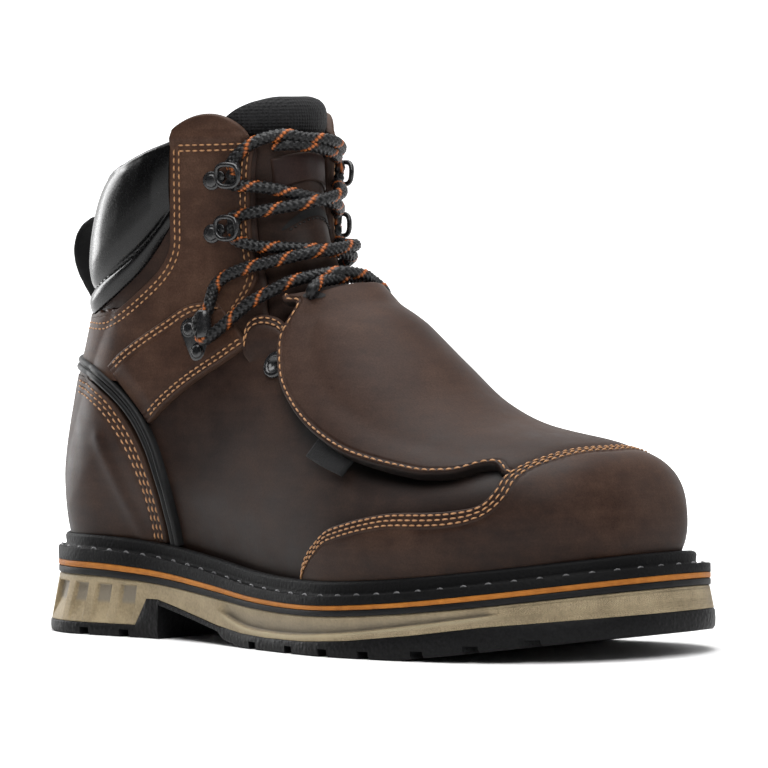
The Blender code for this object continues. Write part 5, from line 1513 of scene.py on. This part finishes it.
def midsoleFinish():
    material, tree, shader = newMaterial("midsoleFoam")
    soft = noise(tree, 90.0, 5.0, 0.6)
    dust = noise(tree, 900.0, 3.0, 0.6)
    tone = calc(tree, "MULTIPLY_ADD", soft, 0.6, calc(tree, "MULTIPLY", dust, 0.4))
    tan = ramp(tree, tone, ((0.36, (0.208, 0.163, 0.098)), (0.64, (0.338, 0.271, 0.168))))
    # painted shade: greyer in the heel windows' recesses and in the groove above the lip
    tan = mix(tree, mark(tree, "shade"), tan, (0.19, 0.17, 0.14))
    # painted highlight: lighter tan along the narrow ledge just below the groove's lip
    tan = mix(tree, calc(tree, "MULTIPLY", mark(tree, "lip"), 0.8), tan, (0.38, 0.32, 0.205))
    tree.links.new(tan, shader.inputs["Base Color"])
    uv = addNode(tree, "TexCoord").outputs["UV"]
    hatchLines = []
    for angle in (0.62, -0.62):
        mapping = addNode(tree, "Mapping", sockets={"Rotation": (0.0, 0.0, angle)})
        tree.links.new(uv, mapping.inputs["Vector"])
        wave = addNode(tree, "TexWave", {"bands_direction": "X"}, {"Scale": 0.36})
        tree.links.new(mapping.outputs["Vector"], wave.inputs["Vector"])
        hatchLines.append(wave.outputs["Fac"])
    hatch = calc(tree, "MULTIPLY", calc(tree, "MAXIMUM", *hatchLines), mark(tree, "hatch"))
    height = calc(tree, "MULTIPLY_ADD", hatch, 1.0, calc(tree, "MULTIPLY", dust, 0.5))
    bump(tree, shader, height, 0.7, 0.0005)
    setShader(shader, rough=0.6, specular=0.2)
    return material


# 1 along the groove, running out at both ends
def grooveReach(s):
    return ease((s - grooveLip[0][0]) / 9.0) * ease((grooveLip[-1][0] - s) / 12.0)


def makeMidsole():
    around = np.unique(np.concatenate([spaced(420), np.linspace(10.0, 80.0, 160)]))
    shares = np.linspace(0.0, 1.0, 40)
    rings, shade, lipHighlight, hatchMark, uvs = [], [], [], [], []
    for share in shares:
        def height(s):
            return treadTop(s) + 0.1 + (levelBelow(5)(s) - treadTop(s) - 0.1) * share

        def hollow(s):
            z = height(s)
            lip = curve(grooveLip, 1, s)
            top = levelBelow(5)(s) - 0.8
            climb = np.clip((z - lip) / np.maximum(top - lip, 0.5), 0.0, 1.0)
            band = ease((z - lip) / 0.5) * (1 - 0.75 * climb)
            deep = mid["grooveDeep"] * grooveReach(s) * band
            pit = np.zeros_like(s)
            for start, end in windows:
                back = mid["lean"] * np.clip((mid["windowTop"] - z) / 13.0, 0.0, 1.0)
                inside = ease((s + back - start) / 1.2) * ease((end - s - back) / 1.2)
                fall = np.clip((z - mid["windowLow"]) / (mid["windowMid"] - mid["windowLow"]), 0.0, 1.0)
                pit = np.maximum(pit, inside * fall * ease((mid["windowTop"] - z) / 0.7 + 0.5))
            return deep, pit

        def inset(s):
            deep, pit = hollow(s)
            edge = 0.5 * ease((share - 0.96) / 0.04)
            return 0.45 + draft(s) * share + deep + mid["windowDeep"] * pit + edge

        ring = soleRing(around, inset, height)
        rings.append(ring)
        deep, pit = hollow(ring[:, 0])
        # painted shade for the window recesses and the groove
        shade.append(0.78 * ease((pit - 0.8) / 0.18) + 0.8 * np.clip(deep / 2.2 - 0.25, 0.0, 1.0))
        # painted highlight band just below the lip
        under = curve(grooveLip, 1, ring[:, 0]) - ring[:, 2]
        lipHighlight.append(grooveReach(ring[:, 0]) * ease(under / 0.3) * ease((2.2 - under) / 1.6))
        hatchMark.append(ease((ring[:, 0] - mid["hatchFrom"]) / 16.0) * np.clip(1 - deep, 0.0, 1.0))
        uvs.append(np.stack([runAlong(ring[:, :2]), ring[:, 2]], 1))
    count = len(rings[0])
    faces = gridFaces(len(rings), count, closed=True) + stripFaces(0, count)
    marks = {"shade": shade, "lip": lipHighlight, "hatch": hatchMark, "UVMap": uvs}
    marks = {key: np.concatenate(rows) for key, rows in marks.items()}
    made = meshPiece("midsoleFoam", np.concatenate(rings), faces, midsoleFinish(), marks)
    turnOut(made)
    place(made, "rubber_tan", "midsole")


makeMidsole()

tread = {"notchWide": 5.0, "notchLong": 24.0, "notchDeep": 3.0, "crossWide": 4.0, "crossLong": 30.0}
edgeNotches = (41.0, 64.0, 152.0, 178.0, 200.0, 221.0, 246.0, 268.0, 287.0)
crossGrooves = (30.0, 75.5, 165.0, 189.0, 210.5, 233.0, 257.0, 278.0)
cubeFaces = [(3, 2, 1, 0), (4, 5, 6, 7), (0, 1, 5, 4), (1, 2, 6, 5), (2, 3, 7, 6), (3, 0, 4, 7)]


def block(centre, along, long, wide, low, high):
    along = np.asarray(along, float) / np.linalg.norm(along)
    across = np.array([-along[1], along[0]])
    corners = [np.asarray(centre) + along * a * long / 2 + across * b * wide / 2
               for a, b in ((-1, -1), (1, -1), (1, 1), (-1, 1))]
    return [(c[0], c[1], low) for c in corners] + [(c[0], c[1], high) for c in corners], cubeFaces


def makeOutsole():
    kinks = [71.8, 72.2, 78.8, 79.2, 85.9, 86.7, 108.0, 127.0, 131.0, 146.0, 235.0]
    around = np.unique(np.concatenate([spaced(170), kinks]))

    def part(share):
        return lambda s: treadLow(s) + share * (treadTop(s) - treadLow(s))

    rim = ((0.6, 1.0), (0.15, 0.9), (0.0, 0.5), (0.15, 0.15), (0.8, 0.0))  # inset, share of the height
    rings = [soleRing(around, inset, part(share)) for inset, share in rim]
    count = len(rings[0])
    faces = gridFaces(len(rings), count, closed=True) + stripFaces(0, count) + stripFaces(4 * count, count)
    made = meshPiece("outsoleTread", np.concatenate(rings), faces, soleBlack)
    turnOut(made)
    cuts = []
    for station in edgeNotches:
        for side in (-1, 1):
            edge = float(swing(station) + side * halfWidth(station, side, 0.0))
            floor = float(treadLow(station))
            cuts.append(block((station + 2.0, edge), (0.25, -side), tread["notchLong"], tread["notchWide"],
                              floor - 4.0, floor + tread["notchDeep"]))
    for station in crossGrooves:
        floor = float(treadLow(station))
        middle = (station, float(swing(station)))
        cuts.append(block(middle, (0.0, 1.0), tread["crossLong"], tread["crossWide"],
                          floor - 4.0, floor + tread["notchDeep"]))
    cutter = meshPiece("lugCutter", *joined(cuts), soleBlack)
    turnOut(cutter)
    trim = made.modifiers.new("lugs", "BOOLEAN")
    trim.object = cutter
    trim.solver = "EXACT"
    cutMesh = bpy.data.meshes.new_from_object(made.evaluated_get(bpy.context.evaluated_depsgraph_get()))
    made.modifiers.clear()
    made.data = cutMesh
    bpy.data.objects.remove(cutter)
    made.data.set_sharp_from_angle(angle=math.radians(40))
    place(made, "rubber_black", "outsole")


makeOutsole()
print("sole built")

# floor, light and camera
photo = {"azimuth": 46.27, "elevation": 2.15, "roll": -1.11, "distance": 2.222, "lens": 270.8,
         "target": (0.12561, 0.0, 0.09996)}
light = {"world": 0.04, "glowFrom": 0.28, "glowTo": 0.9, "glow": 1.05, "paleTo": 0.26, "greyFrom": 0.6}
lamps = (  # name, metres to the right, behind and above, width, height, watts
    ("topBox", -0.1, 0.05, 0.85, 0.95, 0.95, 15.0), ("leftBox", -0.85, 0.85, 0.35, 0.42, 1.0, 8.5),
    ("frontBox", 0.1, -1.0, 0.85, 0.7, 0.7, 10.0), ("rightBox", 1.1, 0.1, 0.4, 0.6, 1.0, 3.6))
sweep = {"front": -5.0, "back": 3.6, "bend": 1.8, "tall": 6.0, "half": 6.0}


def cameraAxes():
    a, e, r = (math.radians(photo[key]) for key in ("azimuth", "elevation", "roll"))
    back = Vector((math.sin(a) * math.cos(e), -math.cos(a) * math.cos(e), math.sin(e)))
    right = Vector((math.cos(a), math.sin(a), 0.0))
    up = back.cross(right)
    return right * math.cos(r) + up * math.sin(r), up * math.cos(r) - right * math.sin(r), back


def makeCamera(target, right, up, back):
    camera = bpy.data.objects.new("camera", bpy.data.cameras.new("camera"))
    camera.data.lens = photo["lens"]
    camera.data.sensor_width = 36.0
    camera.data.clip_end = 50.0
    turn = Matrix((right, up, back)).transposed().to_4x4()
    camera.matrix_world = Matrix.Translation(target + back * photo["distance"]) @ turn
    bpy.context.scene.collection.objects.link(camera)
    bpy.context.scene.camera = camera


# paper sweep, glowing softly behind the boot and greyer far to the left
def makeFloor(target, flat, away):
    material, tree, shader = newMaterial("paperSweep")
    coord = addNode(tree, "TexCoord")
    apart = addNode(tree, "VectorMath", {"operation": "DOT_PRODUCT"}, {1: tuple(flat)})
    tree.links.new(coord.outputs["Object"], apart.inputs[0])
    beside = calc(tree, "SUBTRACT", target.dot(flat), apart.outputs["Value"])
    far = remap(tree, beside, light["paleTo"], light["greyFrom"])
    tone = ramp(tree, noise(tree, 6.0, 2.0), ((0.3, (0.9, 0.9, 0.9)), (0.7, (0.93, 0.93, 0.93))))
    tree.links.new(mix(tree, far, tone, (0.5, 0.5, 0.5)), shader.inputs["Base Color"])
    setShader(shader, rough=0.9, specular=0.05)
    dot = addNode(tree, "VectorMath", {"operation": "DOT_PRODUCT"}, {1: tuple(away)})
    tree.links.new(coord.outputs["Object"], dot.inputs[0])
    start = target.dot(away)
    glow = remap(tree, dot.outputs["Value"], start + light["glowFrom"], start + light["glowTo"], 0.0,
                 light["glow"])
    shader.inputs["Emission Color"].default_value = (1.0, 1.0, 1.0, 1.0)
    tree.links.new(glow, shader.inputs["Emission Strength"])
    profile = [(sweep["front"], 0.0), (sweep["back"], 0.0)]
    for t in np.linspace(0.1, math.pi / 2, 16):
        profile.append((sweep["back"] + sweep["bend"] * math.sin(t), sweep["bend"] * (1 - math.cos(t))))
    profile.append((sweep["back"] + sweep["bend"], sweep["tall"]))
    rows = []
    for reach, high in profile:
        spot = target + away * reach
        ends = (-sweep["half"], sweep["half"])
        rows.append([(spot.x + flat.x * w, spot.y + flat.y * w, high) for w in ends])
    mesh = bpy.data.meshes.new("floor")
    mesh.from_pydata(np.array(rows).reshape(-1, 3).tolist(), [], gridFaces(len(rows), 2))
    mesh.polygons.foreach_set("use_smooth", np.ones(len(mesh.polygons), bool))
    mesh.materials.append(material)
    floor = bpy.data.objects.new("floor", mesh)
    bpy.context.scene.collection.objects.link(floor)


def makeLights(target, flat, away):
    scene = bpy.context.scene
    world = scene.world or bpy.data.worlds.new("studio")
    scene.world = world
    world.use_nodes = True
    sky = world.node_tree.nodes["Background"]
    sky.inputs["Color"].default_value = (1.0, 1.0, 1.0, 1.0)
    sky.inputs["Strength"].default_value = light["world"]
    for name, right, behind, above, wide, tall, power in lamps:
        spot = target + flat * right + away * behind + Vector((0.0, 0.0, above))
        lamp = bpy.data.lights.new(name, "AREA")
        lamp.shape = "RECTANGLE"
        lamp.size, lamp.size_y = wide, tall
        lamp.energy = power
        made = bpy.data.objects.new(name, lamp)
        made.location = spot
        made.rotation_euler = (target - spot).to_track_quat("-Z", "Y").to_euler()
        scene.collection.objects.link(made)
    scene.view_settings.view_transform = "Standard"
    scene.view_settings.look = "None"


def makeStage():
    right, up, back = cameraAxes()
    target = Vector(photo["target"])
    flat = Vector((right.x, right.y, 0.0)).normalized()
    away = Vector((-back.x, -back.y, 0.0)).normalized()
    makeCamera(target, right, up, back)
    makeFloor(target, flat, away)
    makeLights(target, flat, away)


makeStage()
print("stage set")
